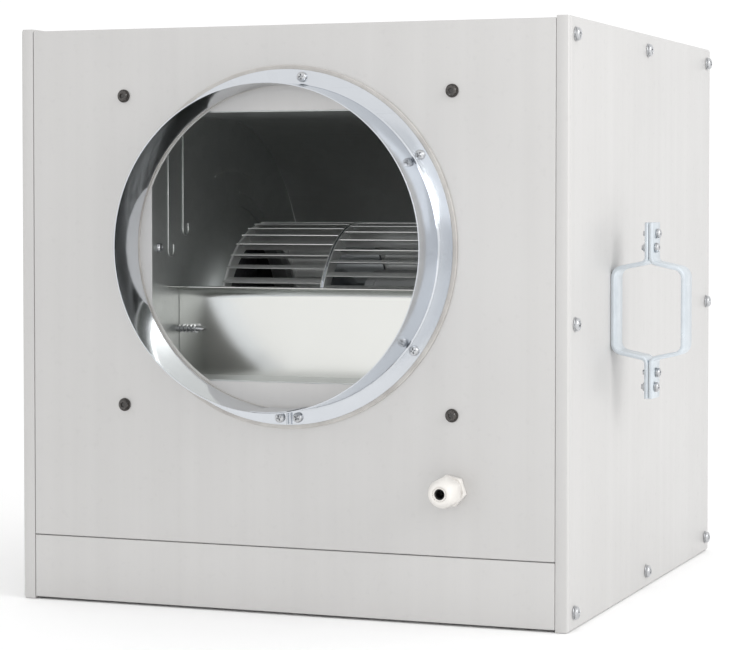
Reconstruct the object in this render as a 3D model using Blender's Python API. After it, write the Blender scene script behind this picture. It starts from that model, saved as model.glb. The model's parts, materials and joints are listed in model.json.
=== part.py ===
"""Inline duct fan: a square acoustic box around a double-inlet centrifugal blower.

Units are metres and +Z is up. X = 0 is the middle of the box, Y = 0 its mid depth and
Z = 0 the underside of its side panels. Air enters at +Y and leaves at -Y.
"""

import math

import bmesh
import bpy
from mathutils import Matrix, Vector

# Clearances
GAP = 0.0003
HOLE_CLEARANCE = 0.0003

# Casing: two proud side panels with trays screwed between them
BOX_WIDTH = 0.580
BOX_DEPTH = 0.580
BOX_HEIGHT = 0.580
SHEET = 0.0012
SIDE_THICKNESS = 0.0138
SIDE_LIP = 0.022
SIDE_PROUD = 0.002
TRAY_DEPTH = 0.032
LOWER_PANEL_HEIGHT = 0.0636
PANEL_SEAM = 0.0006
FOAM_THICKNESS = 0.020
SIDE_FOAM_THICKNESS = 0.022

# Spigots, flanges and gaskets
COLLAR_RADIUS = 0.159
COLLAR_WALL = 0.001
COLLAR_REACH = 0.057
FLANGE_WIDTH = 0.0147
GASKET_OVERHANG = 0.004
GASKET_THICKNESS = 0.003
OUTLET_X = 0.002
OUTLET_Z = 0.3610
INLET_Z = 0.290
PORT_STEP = 0.0025

# Blower outlet, its frame and the four screws that hang the blower on the front panel
DUCT_WIDTH = 0.290
DUCT_HEIGHT = 0.2662
DUCT_Z = 0.3614
FRAME_THICKNESS = 0.002
FRAME_MARGIN = 0.013
FRAME_SCREW_BESIDE = 0.0285
FRAME_SCREW_ABOVE = 0.0165
FRAME_SCREW_BELOW = 0.0266
FRAME_SCREW_RADIUS = 0.003
FRAME_SCREW_LENGTH = 0.014
SCREW_HEAD_RADIUS = 0.0063
SCREW_HEAD_HEIGHT = 0.0034
SOCKET_RADIUS = 0.0023
SOCKET_DEPTH = 0.0018

# Scroll
WHEEL_Z = 0.266
CUTOFF_CLEARANCE = 0.018
PLATE_THICKNESS = 0.001
PLATE_MARGIN = 0.008
PLATE_FLANGE = 0.018
SCROLL_STEPS = 30
CUTOFF_DEPTH = 0.068
CUTOFF_STRAIGHT_TOP = 0.307
CUTOFF_LIP_RADIUS = 0.013
CUTOFF_LIP_TURN = math.radians(92)
CUTOFF_LIP_FLAT = 0.012

# Wheel
WHEEL_RADIUS = 0.118
WHEEL_LENGTH = 0.224
BLADE_COUNT = 42
BLADE_CHORD = 0.0165
BLADE_THICKNESS = 0.0009
BLADE_BULGE = 0.0035
BLADE_LEAN = math.radians(24)
BLADE_STEPS = 2
RIM_THICKNESS = 0.003
DISC_THICKNESS = 0.0016

# Inlet rings
THROAT_STEP = 0.002
PLATE_HOLE_MARGIN = 0.018
RING_FLANGE_WIDTH = 0.010
RIM_CLEARANCE = 0.004
BELL_STEPS = 4

# Motor
SHAFT_RADIUS = 0.007
SHAFT_START = -0.018
SHAFT_END = 0.121
HUB_RADIUS = 0.016
HUB_START = -0.016
HUB_END = 0.010
HUB_FLANGE_RADIUS = 0.034
HUB_FLANGE_THICKNESS = 0.003
SET_SCREW_RADIUS = 0.003
SET_SCREW_X = -0.008
MOTOR_START = 0.018
MOTOR_END = 0.126
MOTOR_RADIUS = 0.068
MOTOR_WALL = 0.002
END_BELL_LENGTH = 0.014
BEARING_RADIUS = 0.0175
BEARING_WIDTH = 0.010
ROTOR_RADIUS = 0.038
ROTOR_MARGIN = 0.012
AIR_SPACE = 0.0008
BAND_WIDTH = 0.022
BAND_THICKNESS = 0.0024
BAND_START = 0.084
ARM_WIDTH = 0.018
ARM_THICKNESS = 0.003
ARM_END_MARGIN = 0.001
ARM_COUNT = 3

# Electrical parts
GLAND_X = 0.1735
GLAND_Z = 0.1302
GLAND_HEX = 0.027
GLAND_THREAD_RADIUS = 0.010
GLAND_THREAD_STEP = 0.0005
GLAND_THREAD_SPARE = 0.004
GLAND_BORE_RADIUS = 0.0072
GLAND_FLANGE_LENGTH = 0.007
GLAND_NECK_LENGTH = 0.006
GLAND_NUT_HEX_LENGTH = 0.012
GLAND_DOME_LENGTH = 0.012
GLAND_HOLE_RADIUS = 0.0047
GLAND_SEAL_RADIUS = 0.0079
GLAND_SEAL_DISH = 0.001
GLAND_CROWN_LIP = 0.001
LOCKNUT_HEX = 0.028
LOCKNUT_THICKNESS = 0.005
TERMINAL_BOX_LEFT = 0.056
TERMINAL_BOX_WIDTH = 0.090
TERMINAL_BOX_BASE = 0.092
TERMINAL_BOX_HEIGHT = 0.080
TERMINAL_BOX_DEPTH = 0.036
TERMINAL_BOX_WALL = 0.0025
LEAD_RADIUS = 0.0035
CAPACITOR_RADIUS = 0.0175
CAPACITOR_LENGTH = 0.070
CAPACITOR_CHAMFER = 0.002
CAPACITOR_DEPTH = 0.060
CAPACITOR_Z = 0.440
CLIP_WIDTH = 0.012
CLIP_THICKNESS = 0.001
CLIP_FOOT = 0.014

# Carrying handles: two bent strips, back to back
HANDLE_WIDTH = 0.030
HANDLE_SETBACK = 0.144
HANDLE_Z = 0.298
HANDLE_THICKNESS = 0.004
HANDLE_REACH = 0.075
HANDLE_BAR_HEIGHT = 0.078
HANDLE_SHOULDER_RISE = 0.007
HANDLE_TAB = 0.033
HANDLE_CORNER = 0.008
HANDLE_BOLT_RADIUS = 0.0028
HANDLE_BOLT_SPACING = 0.014
HANDLE_BOLT_INSET = 0.008
HANDLE_STANDOFF = 0.001

# Number of flats on round pieces
FINE = 64
MEDIUM = 28
COARSE = 16
HOLE = 8
SMALL = 12
HOLE_REACH = 0.006

FRONT = -BOX_DEPTH / 2
BACK = BOX_DEPTH / 2
INSIDE_X = BOX_WIDTH / 2 - SIDE_THICKNESS
TRAY_X = INSIDE_X - GAP
BOTTOM = SIDE_PROUD
TOP = BOX_HEIGHT - SIDE_PROUD
WHEEL_Y = FRONT + CUTOFF_DEPTH + CUTOFF_CLEARANCE + WHEEL_RADIUS
WHEEL_CENTRE = Vector((0, WHEEL_Y, WHEEL_Z))
DUCT_BOTTOM = DUCT_Z - DUCT_HEIGHT / 2
DUCT_TOP = DUCT_Z + DUCT_HEIGHT / 2
FRAME_Y = FRONT + SHEET + GAP
DUCT_Y = FRAME_Y + FRAME_THICKNESS + GAP
PLATE_X = DUCT_WIDTH / 2
PORT_RADIUS = COLLAR_RADIUS - PORT_STEP
FRAME_SCREW_X = DUCT_WIDTH / 2 + FRAME_SCREW_BESIDE
FRAME_SCREW_HIGH_Z = DUCT_TOP + FRAME_SCREW_ABOVE
FRAME_SCREW_LOW_Z = DUCT_BOTTOM - FRAME_SCREW_BELOW
THROAT_RADIUS = WHEEL_RADIUS - BLADE_CHORD - THROAT_STEP
PLATE_HOLE_RADIUS = WHEEL_RADIUS + PLATE_HOLE_MARGIN
RING_FLANGE_RADIUS = PLATE_HOLE_RADIUS + RING_FLANGE_WIDTH
ARM_REACH = RING_FLANGE_RADIUS - ARM_END_MARGIN
HANDLE_FRONT = FRONT + HANDLE_SETBACK


# ---------------------------------------------------------------- tools


def clear_scene():
    for obj in list(bpy.data.objects):
        bpy.data.objects.remove(obj, do_unlink=True)


def finish(name, colour, roughness, metallic):
    """A material of one colour."""
    material = bpy.data.materials.new(name)
    material.use_nodes = True
    shader = material.node_tree.nodes["Principled BSDF"]
    shader.inputs["Base Color"].default_value = (*colour, 1)
    shader.inputs["Roughness"].default_value = roughness
    shader.inputs["Metallic"].default_value = metallic
    return material


def add(name, form, material, place=(0, 0, 0), sharp=math.radians(35)):
    """Turns a bmesh into a named object standing at a place."""
    bmesh.ops.recalc_face_normals(form, faces=form.faces)
    mesh = bpy.data.meshes.new(name)
    form.to_mesh(mesh)
    form.free()
    mesh.shade_smooth()
    mesh.set_sharp_from_angle(angle=sharp)
    mesh.materials.append(material)
    obj = bpy.data.objects.new(name, mesh)
    obj.location = place
    bpy.context.scene.collection.objects.link(obj)
    return obj


def box_form(low, high):
    form = bmesh.new()
    low = Vector(low)
    high = Vector(high)
    grow = Matrix.Translation((low + high) / 2) @ Matrix.Diagonal((*(high - low), 1))
    bmesh.ops.create_cube(form, size=1, matrix=grow)
    return form


def box(name, low, high, material):
    """A block between two corners, with its origin at its middle."""
    middle = (Vector(low) + Vector(high)) / 2
    return add(name, box_form(Vector(low) - middle, Vector(high) - middle), material, middle)


def on_axes(axis, along, across, up):
    """A point from its distance along an axis and its two distances across it."""
    if axis == "X":
        return Vector((along, across, up))
    if axis == "Y":
        return Vector((across, along, up))
    return Vector((across, up, along))


def extruded_form(outline, axis, start, end):
    """A solid with a flat outline, drawn out along an axis."""
    form = bmesh.new()
    points = [form.verts.new(on_axes(axis, start, *point)) for point in outline]
    face = form.faces.new(points)
    drawn = bmesh.ops.extrude_face_region(form, geom=[face])["geom"]
    moved = [item for item in drawn if isinstance(item, bmesh.types.BMVert)]
    bmesh.ops.translate(form, verts=moved, vec=on_axes(axis, end - start, 0, 0))
    return form


def extruded(name, outline, axis, start, end, material, place=(0, 0, 0)):
    return add(name, extruded_form(outline, axis, start, end), material, place)


def turned_form(profile, axis, steps):
    """A solid of revolution from (radius, along) points, closed unless it ends on the axis."""
    form = bmesh.new()
    rings = []
    for radius, along in profile:
        if radius < 1e-9:
            rings.append([form.verts.new(on_axes(axis, along, 0, 0))])
            continue
        ring = []
        for step in range(steps):
            turn = 2 * math.pi * (step + 0.5) / steps
            across = radius * math.cos(turn)
            up = radius * math.sin(turn)
            ring.append(form.verts.new(on_axes(axis, along, across, up)))
        rings.append(ring)
    pairs = list(zip(rings, rings[1:]))
    if len(rings[0]) > 1 and len(rings[-1]) > 1:
        pairs.append((rings[-1], rings[0]))
    for here, there in pairs:
        for step in range(steps):
            corners = []
            for ring, spot in ((here, step), (here, step + 1), (there, step + 1), (there, step)):
                corner = ring[spot % len(ring)]
                if corner not in corners:
                    corners.append(corner)
            if len(corners) > 2:
                form.faces.new(corners)
    return form


def turned(name, profile, axis, steps, material, place=(0, 0, 0)):
    return add(name, turned_form(profile, axis, steps), material, place)


def strip(points, thickness):
    """The outline of a sheet strip: a line and its mitred copy on the left-hand side."""
    points = [Vector(point) for point in points]
    normals = []
    for here, there in zip(points, points[1:]):
        run = (there - here).normalized()
        normals.append(Vector((-run.y, run.x)))
    offset = []
    for spot, point in enumerate(points):
        before = normals[max(spot - 1, 0)]
        after = normals[min(spot, len(normals) - 1)]
        middle = (before + after).normalized()
        offset.append(point + middle * thickness / middle.dot(after))
    return [tuple(point) for point in points + offset[::-1]]


def arc(centre, radius, start, end, steps):
    """Points on an arc, both ends included."""
    points = []
    for step in range(steps + 1):
        turn = start + (end - start) * step / steps
        points.append((centre[0] + radius * math.cos(turn), centre[1] + radius * math.sin(turn)))
    return points


def polygon(sides, radius, turn=0.0):
    """The corners of a regular polygon about the origin."""
    return arc((0, 0), radius, turn, turn + 2 * math.pi * (sides - 1) / sides, sides - 1)


def rounded(points, radius, steps=4):
    """A line whose inner corners are rounded off."""
    line = [Vector(point) for point in points]
    result = [tuple(line[0])]
    for before, corner, after in zip(line, line[1:], line[2:]):
        to_before = (before - corner).normalized()
        to_after = (after - corner).normalized()
        half = to_before.angle(to_after) / 2
        centre = corner + (to_before + to_after).normalized() * radius / math.sin(half)
        first = corner + to_before * radius / math.tan(half) - centre
        last = corner + to_after * radius / math.tan(half) - centre
        sweep = first.angle_signed(last)
        for step in range(steps + 1):
            turned_spoke = first.copy()
            turned_spoke.rotate(Matrix.Rotation(-sweep * step / steps, 2))
            result.append(tuple(centre + turned_spoke))
    result.append(tuple(line[-1]))
    return result


def tool(form, place=(0, 0, 0)):
    """A hidden body for a Boolean."""
    obj = add("tool", form, STEEL, place)
    obj.hide_render = True
    obj.display_type = "WIRE"
    return obj


def change(obj, operation, forms, place=(0, 0, 0)):
    """Cuts each form from an object, or unites it with the object."""
    for form in forms:
        modifier = obj.modifiers.new(operation.lower(), "BOOLEAN")
        modifier.operation = operation
        modifier.solver = "EXACT"
        modifier.object = tool(form, place)
    return obj


def rod_form(radius, axis, start, end, place, steps):
    """A plain round bar along an axis, through a place."""
    form = turned_form([(0, start), (radius, start), (radius, end), (0, end)], axis, steps)
    bmesh.ops.translate(form, verts=form.verts, vec=place)
    return form


def frame_screw_places():
    for side in (-1, 1):
        for height in (FRAME_SCREW_LOW_Z, FRAME_SCREW_HIGH_Z):
            yield (side * FRAME_SCREW_X, 0, height)


def frame_screw_holes(start, end):
    radius = FRAME_SCREW_RADIUS + HOLE_CLEARANCE
    return [rod_form(radius, "Y", start, end, place, HOLE) for place in frame_screw_places()]


clear_scene()
PAINTED = finish("painted_panel", (0.66, 0.65, 0.63), 0.42, 0.0)
GALVANISED = finish("galvanised_sheet", (0.62, 0.64, 0.66), 0.32, 0.9)
DARK_SHEET = finish("dark_sheet", (0.20, 0.21, 0.21), 0.45, 0.8)
STEEL = finish("steel", (0.50, 0.51, 0.53), 0.30, 1.0)
ZINC = finish("zinc_plated", (0.60, 0.59, 0.56), 0.35, 0.9)
BLACK_STEEL = finish("black_steel", (0.03, 0.026, 0.024), 0.40, 0.6)
FOAM = finish("acoustic_foam", (0.07, 0.07, 0.075), 0.95, 0.0)
RUBBER = finish("grey_gasket", (0.50, 0.49, 0.47), 0.80, 0.0)
BLACK_RUBBER = finish("black_rubber", (0.02, 0.02, 0.02), 0.70, 0.0)
WHITE_PLASTIC = finish("white_plastic", (0.80, 0.78, 0.75), 0.45, 0.0)
MOTOR_PAINT = finish("motor_shell", (0.55, 0.56, 0.57), 0.40, 0.7)
COPPER = finish("copper_winding", (0.55, 0.25, 0.12), 0.40, 0.6)


# ---------------------------------------------------------------- casing


def side_panel(name, side):
    """A shallow pan, open inwards, whose edge turns in again as a lip."""
    outer = side * BOX_WIDTH / 2
    inner = side * INSIDE_X
    skin = side * SHEET
    obj = box(name, (inner, FRONT, 0), (outer, BACK, BOX_HEIGHT), PAINTED)
    hollow_low = (inner + skin, FRONT + SHEET, SHEET)
    hollow_high = (outer - skin, BACK - SHEET, BOX_HEIGHT - SHEET)
    mouth_low = (inner - skin, FRONT + SIDE_LIP, SIDE_LIP)
    mouth_high = (inner + 2 * skin, BACK - SIDE_LIP, BOX_HEIGHT - SIDE_LIP)
    change(obj, "DIFFERENCE", [box_form(hollow_low, hollow_high), box_form(mouth_low, mouth_high)])
    change(obj, "DIFFERENCE", handle_bolt_holes_in_panel(side, outer))
    return obj


def handle_bolt_holes_in_panel(side, outer):
    """Two holes for the screws that hold the inner handle strip's bar."""
    holes = []
    for up in (-1, 1):
        place = (outer, handle_middle_y(), HANDLE_Z + up * HANDLE_BOLT_SPACING)
        holes.append(rod_form(HANDLE_BOLT_RADIUS, "X", -HOLE_REACH, HOLE_REACH, place, HOLE))
    return holes


def tray(name, low, high, open_side):
    """A pan with folded edges and one open side, given as an axis index and a direction."""
    axis, direction = open_side
    obj = box(name, low, high, PAINTED)
    hollow_low = [value + SHEET for value in low]
    hollow_high = [value - SHEET for value in high]
    if direction > 0:
        hollow_high[axis] = high[axis] + SHEET
    else:
        hollow_low[axis] = low[axis] - SHEET
    return change(obj, "DIFFERENCE", [box_form(hollow_low, hollow_high)])


def outlet_outline():
    """A rectangle whose corners are rounded off by the spigot's own circle."""
    half_width = DUCT_WIDTH / 2
    half_height = DUCT_HEIGHT / 2
    side_turn = math.acos(min(half_width / PORT_RADIUS, 1))
    top_turn = math.asin(min(half_height / PORT_RADIUS, 1))
    points = []
    for quarter in range(4):
        mirrored = quarter % 2 == 1
        start = top_turn if mirrored else side_turn
        end = side_turn if mirrored else top_turn
        corner = arc((0, 0), PORT_RADIUS, start, end, 6)
        across = -1 if quarter in (1, 2) else 1
        up = -1 if quarter in (2, 3) else 1
        points += [(across * x + OUTLET_X, up * z + DUCT_Z) for x, z in corner]
    return points


def build_casing():
    side_panel("left_side_panel", -1)
    side_panel("right_side_panel", 1)

    tray_back = FRONT + TRAY_DEPTH
    lower_top = BOTTOM + LOWER_PANEL_HEIGHT
    front = tray(
        "front_panel",
        (-TRAY_X, FRONT, lower_top + PANEL_SEAM),
        (TRAY_X, tray_back, TOP),
        (1, 1),
    )
    opening = extruded_form(outlet_outline(), "Y", FRONT - SHEET, FRONT + 2 * SHEET)
    gland_radius = GLAND_THREAD_RADIUS + HOLE_CLEARANCE
    gland_place = (GLAND_X, FRONT, GLAND_Z)
    gland_hole = rod_form(gland_radius, "Y", -SHEET, 2 * SHEET, gland_place, COARSE)
    screw_holes = frame_screw_holes(FRONT - SHEET, FRONT + 2 * SHEET)
    change(front, "DIFFERENCE", [opening, gland_hole, *screw_holes])

    tray("front_lower_panel", (-TRAY_X, FRONT, BOTTOM), (TRAY_X, tray_back, lower_top), (1, 1))

    rear = tray("rear_panel", (-TRAY_X, BACK - TRAY_DEPTH, BOTTOM), (TRAY_X, BACK, TOP), (1, -1))
    inlet_place = (0, BACK, INLET_Z)
    port = rod_form(PORT_RADIUS, "Y", -2 * SHEET, SHEET, inlet_place, FINE)
    change(rear, "DIFFERENCE", [port])

    end_y = BACK - TRAY_DEPTH - GAP
    tray("top_panel", (-TRAY_X, -end_y, TOP - TRAY_DEPTH), (TRAY_X, end_y, TOP), (2, -1))
    tray("bottom_panel", (-TRAY_X, -end_y, BOTTOM), (TRAY_X, end_y, BOTTOM + TRAY_DEPTH), (2, 1))


def build_linings():
    """Slabs of sound-absorbing foam glued inside the panels."""
    end_y = BACK - TRAY_DEPTH - SHEET - 2 * GAP
    side_end_y = BACK - TRAY_DEPTH - 2 * GAP
    skin_x = BOX_WIDTH / 2 - SHEET - GAP
    side_low = BOTTOM + TRAY_DEPTH + GAP
    side_high = TOP - TRAY_DEPTH - GAP
    for name, side in (("left_lining", -1), ("right_lining", 1)):
        low = (side * (skin_x - SIDE_FOAM_THICKNESS), -side_end_y, side_low)
        high = (side * skin_x, side_end_y, side_high)
        box(name, low, high, FOAM)
    slab_x = TRAY_X - SHEET - GAP
    roof = TOP - SHEET - GAP
    floor = BOTTOM + SHEET + GAP
    box("top_lining", (-slab_x, -end_y, roof - FOAM_THICKNESS), (slab_x, end_y, roof), FOAM)
    box("bottom_lining", (-slab_x, -end_y, floor), (slab_x, end_y, floor + FOAM_THICKNESS), FOAM)
    wall = BACK - SHEET - GAP
    rear = box(
        "rear_lining",
        (-slab_x, wall - FOAM_THICKNESS, floor),
        (slab_x, wall, roof),
        FOAM,
    )
    place = (0, wall, INLET_Z)
    port = rod_form(PORT_RADIUS, "Y", -2 * FOAM_THICKNESS, FOAM_THICKNESS, place, MEDIUM)
    change(rear, "DIFFERENCE", [port])


# ---------------------------------------------------------------- spigots


def build_spigot(name, face, outward, middle, height):
    """A round collar with a flange, standing on a gasket."""
    outer = COLLAR_RADIUS + FLANGE_WIDTH
    inner = COLLAR_RADIUS - COLLAR_WALL
    seat = face + outward * GAP
    gasket_top = face + outward * GASKET_THICKNESS
    flange_seat = gasket_top + outward * GAP
    flange_top = flange_seat + outward * COLLAR_WALL
    rim = face + outward * COLLAR_REACH
    profile = [
        (inner, flange_seat),
        (outer, flange_seat),
        (outer, flange_top),
        (COLLAR_RADIUS, flange_top),
        (COLLAR_RADIUS, rim),
        (inner, rim),
    ]
    turned(name + "_collar", profile, "Y", FINE, GALVANISED, (middle, 0, height))
    outside = outer + GASKET_OVERHANG
    ring = [(inner, seat), (outside, seat), (outside, gasket_top), (inner, gasket_top)]
    turned(name + "_gasket", ring, "Y", FINE, RUBBER, (middle, 0, height))


# ---------------------------------------------------------------- blower housing


def scroll_line(margin=0.0, steps=SCROLL_STEPS):
    """The spiral from under the cut-off, round the bottom and back, to the roof."""
    first = Vector((FRONT + CUTOFF_DEPTH, DUCT_BOTTOM)) - WHEEL_CENTRE.yz
    start = math.atan2(first.y, first.x) + 2 * math.pi
    end = 2.5 * math.pi
    last_radius = DUCT_TOP - WHEEL_Z
    points = []
    for step in range(steps + 1):
        share = step / steps
        turn = start + (end - start) * share
        radius = first.length + (last_radius - first.length) * share + margin
        points.append((WHEEL_Y + radius * math.cos(turn), WHEEL_Z + radius * math.sin(turn)))
    return points


def scroll_plate(name, side):
    """A side of the scroll, with the eye of the inlet and a flange for the outlet frame."""
    inner = side * PLATE_X
    outer = side * (PLATE_X + PLATE_THICKNESS)
    line = scroll_line(PLATE_MARGIN)
    low = DUCT_BOTTOM - PLATE_MARGIN
    high = DUCT_TOP + PLATE_MARGIN
    outline = [(DUCT_Y, low), *line[1:], (DUCT_Y, high)]
    plate = extruded(name, outline, "X", inner, outer, DARK_SHEET)
    flange_end = side * (PLATE_X + PLATE_FLANGE)
    flange = box_form(
        (inner + side * PLATE_THICKNESS / 2, DUCT_Y, DUCT_BOTTOM),
        (flange_end, DUCT_Y + PLATE_THICKNESS, DUCT_TOP),
    )
    change(plate, "UNION", [flange])
    low_x = inner - side * HOLE_REACH
    high_x = outer + side * HOLE_REACH
    eye = rod_form(PLATE_HOLE_RADIUS, "X", low_x, high_x, WHEEL_CENTRE, MEDIUM)
    return change(plate, "DIFFERENCE", [eye])


def inlet_ring(name, side):
    """A bell mouth that leads air from outside the plate into the wheel."""
    rim = WHEEL_LENGTH / 2 + RIM_CLEARANCE
    seat = PLATE_X + PLATE_THICKNESS + GAP
    mouth = PLATE_HOLE_RADIUS - HOLE_CLEARANCE - PLATE_THICKNESS
    reach = Vector((mouth - THROAT_RADIUS, seat - rim))
    line = []
    for step in range(BELL_STEPS + 1):
        turn = math.pi / 2 * step / BELL_STEPS
        line.append((mouth - reach.x * math.cos(turn), rim + reach.y * math.sin(turn)))
    line.append((RING_FLANGE_RADIUS, seat))
    profile = [(radius, side * along) for radius, along in strip(line, PLATE_THICKNESS)]
    return turned(name, profile, "X", MEDIUM, GALVANISED, WHEEL_CENTRE)


def cutoff_outline():
    """An upright strip whose top bends forward, towards the outlet, and runs on flat."""
    depth = FRONT + CUTOFF_DEPTH
    centre = (depth - CUTOFF_LIP_RADIUS, CUTOFF_STRAIGHT_TOP)
    lip = arc(centre, CUTOFF_LIP_RADIUS, 0, CUTOFF_LIP_TURN, 8)
    forward = lip[-1][0] - CUTOFF_LIP_FLAT * math.sin(CUTOFF_LIP_TURN)
    top = lip[-1][1] + CUTOFF_LIP_FLAT * math.cos(CUTOFF_LIP_TURN)
    return strip([(depth, DUCT_BOTTOM + GAP), *lip, (forward, top)], PLATE_THICKNESS)


def build_housing():
    scroll_plate("scroll_left_plate", -1)
    scroll_plate("scroll_right_plate", 1)
    inlet_ring("left_inlet_ring", -1)
    inlet_ring("right_inlet_ring", 1)

    half = PLATE_X - GAP
    floor = (DUCT_Y, DUCT_BOTTOM)
    roof = (DUCT_Y, DUCT_TOP)
    wrap_line = [floor, *scroll_line(), roof]
    extruded("scroll_wrap", strip(wrap_line, -PLATE_THICKNESS), "X", -half, half, DARK_SHEET)
    extruded("cutoff_plate", cutoff_outline(), "X", -half, half, GALVANISED)

    frame_x = FRAME_SCREW_X + FRAME_MARGIN
    frame = box(
        "outlet_frame",
        (-frame_x, FRAME_Y, FRAME_SCREW_LOW_Z - FRAME_MARGIN),
        (frame_x, FRAME_Y + FRAME_THICKNESS, FRAME_SCREW_HIGH_Z + FRAME_MARGIN),
        GALVANISED,
    )
    window = box_form(
        (-PLATE_X, FRAME_Y - FRAME_THICKNESS, DUCT_BOTTOM),
        (PLATE_X, FRAME_Y + 2 * FRAME_THICKNESS, DUCT_TOP),
    )
    holes = frame_screw_holes(FRAME_Y - FRAME_THICKNESS, FRAME_Y + 2 * FRAME_THICKNESS)
    change(frame, "DIFFERENCE", [window, *holes])


def build_frame_screws():
    """Button-head socket screws from the front panel into the outlet frame."""
    seat = -GAP
    top = seat - SCREW_HEAD_HEIGHT
    crown = SCREW_HEAD_RADIUS * 0.55
    profile = [
        (0, FRAME_SCREW_LENGTH),
        (FRAME_SCREW_RADIUS, FRAME_SCREW_LENGTH),
        (FRAME_SCREW_RADIUS, seat),
        (SCREW_HEAD_RADIUS, seat),
        (SCREW_HEAD_RADIUS * 0.97, seat - SCREW_HEAD_HEIGHT * 0.35),
        (SCREW_HEAD_RADIUS * 0.82, seat - SCREW_HEAD_HEIGHT * 0.75),
        (crown, top),
        (0, top),
    ]
    for number, place in enumerate(frame_screw_places(), 1):
        place = (place[0], FRONT, place[2])
        screw = turned(f"outlet_screw_{number}", profile, "Y", COARSE, BLACK_STEEL, place)
        socket = extruded_form(polygon(6, SOCKET_RADIUS), "Y", top - GAP, top + SOCKET_DEPTH)
        change(screw, "DIFFERENCE", [socket], place)


# ---------------------------------------------------------------- rotor


def blade_outline():
    """One forward-curved blade, seen along the shaft, with its heel on the inner radius."""
    heel_radius = WHEEL_RADIUS - BLADE_CHORD
    tip_turn = BLADE_LEAN * BLADE_CHORD / WHEEL_RADIUS * 2
    line = []
    for step in range(BLADE_STEPS + 1):
        share = step / BLADE_STEPS
        radius = heel_radius + (BLADE_CHORD - RIM_THICKNESS / 4) * share
        sway = BLADE_BULGE * math.sin(math.pi * share) / radius
        turn = tip_turn * share - sway
        line.append((radius * math.cos(turn), radius * math.sin(turn)))
    return strip(line, BLADE_THICKNESS)


def blade_cage(name, side, stagger, axis):
    """Half of the wheel: a ring of blades on an end rim, turned by a share of their pitch."""
    outer_end = side * WHEEL_LENGTH / 2
    inner_end = outer_end - side * RIM_THICKNESS
    inner = WHEEL_RADIUS - BLADE_CHORD - BLADE_THICKNESS
    ring = [(inner, inner_end), (WHEEL_RADIUS, inner_end), (WHEEL_RADIUS, outer_end),
            (inner, outer_end)]
    cage = turned(name, ring, "X", BLADE_COUNT, GALVANISED)
    cage.parent = axis
    foot = side * (DISC_THICKNESS / 2 + GAP)
    blades = bmesh.new()
    for number in range(BLADE_COUNT):
        blade = extruded_form(blade_outline(), "X", foot, outer_end - side * RIM_THICKNESS / 2)
        bmesh.ops.recalc_face_normals(blade, faces=blade.faces)
        spin = Matrix.Rotation(2 * math.pi * (number + stagger) / BLADE_COUNT, 3, "X")
        bmesh.ops.rotate(blade, verts=blade.verts, matrix=spin)
        piece = bpy.data.meshes.new("blade")
        blade.to_mesh(piece)
        blade.free()
        blades.from_mesh(piece)
    change(cage, "UNION", [blades])
    cage.modifiers[0].object.parent = axis


def build_impeller(axis):
    """A centre disc between two cages of blades."""
    hole = HUB_RADIUS + HOLE_CLEARANCE
    half = DISC_THICKNESS / 2
    disc = [(hole, -half), (WHEEL_RADIUS, -half), (WHEEL_RADIUS, half), (hole, half)]
    turned("impeller_disc", disc, "X", BLADE_COUNT, GALVANISED).parent = axis
    blade_cage("left_blade_cage", -1, 0, axis)
    blade_cage("right_blade_cage", 1, 0.5, axis)


def build_hub(axis):
    bore = SHAFT_RADIUS + HOLE_CLEARANCE
    flange_start = DISC_THICKNESS / 2 + GAP
    flange_end = flange_start + HUB_FLANGE_THICKNESS
    profile = [
        (bore, HUB_START),
        (HUB_RADIUS, HUB_START),
        (HUB_RADIUS, flange_start),
        (HUB_FLANGE_RADIUS, flange_start),
        (HUB_FLANGE_RADIUS, flange_end),
        (HUB_RADIUS, flange_end),
        (HUB_RADIUS, HUB_END),
        (bore, HUB_END),
    ]
    hub = turned("impeller_hub", profile, "X", COARSE, STEEL)
    hub.parent = axis
    place = (SET_SCREW_X, 0, 0)
    hole = rod_form(SET_SCREW_RADIUS + HOLE_CLEARANCE, "Z", 0, 2 * HUB_RADIUS, place, SMALL)
    change(hub, "DIFFERENCE", [hole])
    hub.modifiers[0].object.parent = axis
    seat = SHAFT_RADIUS + GAP
    bar = [(0, seat), (SET_SCREW_RADIUS, seat), (SET_SCREW_RADIUS, HUB_RADIUS), (0, HUB_RADIUS)]
    screw = turned("hub_set_screw", bar, "Z", SMALL, BLACK_STEEL, place)
    screw.parent = axis


def build_shaft_and_core(axis):
    bar = [(0, SHAFT_START), (SHAFT_RADIUS, SHAFT_START), (SHAFT_RADIUS, SHAFT_END), (0, SHAFT_END)]
    shaft = turned("motor_shaft", bar, "X", COARSE, STEEL)
    shaft.parent = axis
    bore = SHAFT_RADIUS + GAP
    start, end = core_ends()
    core = [(bore, start), (ROTOR_RADIUS, start), (ROTOR_RADIUS, end), (bore, end)]
    rotor = turned("motor_rotor", core, "X", MEDIUM, STEEL)
    rotor.parent = axis


def core_ends():
    """Where the motor's laminated core starts and ends along the shaft."""
    start = MOTOR_START + END_BELL_LENGTH + ROTOR_MARGIN
    end = MOTOR_END - END_BELL_LENGTH - ROTOR_MARGIN
    return start, end


# ---------------------------------------------------------------- motor


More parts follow.
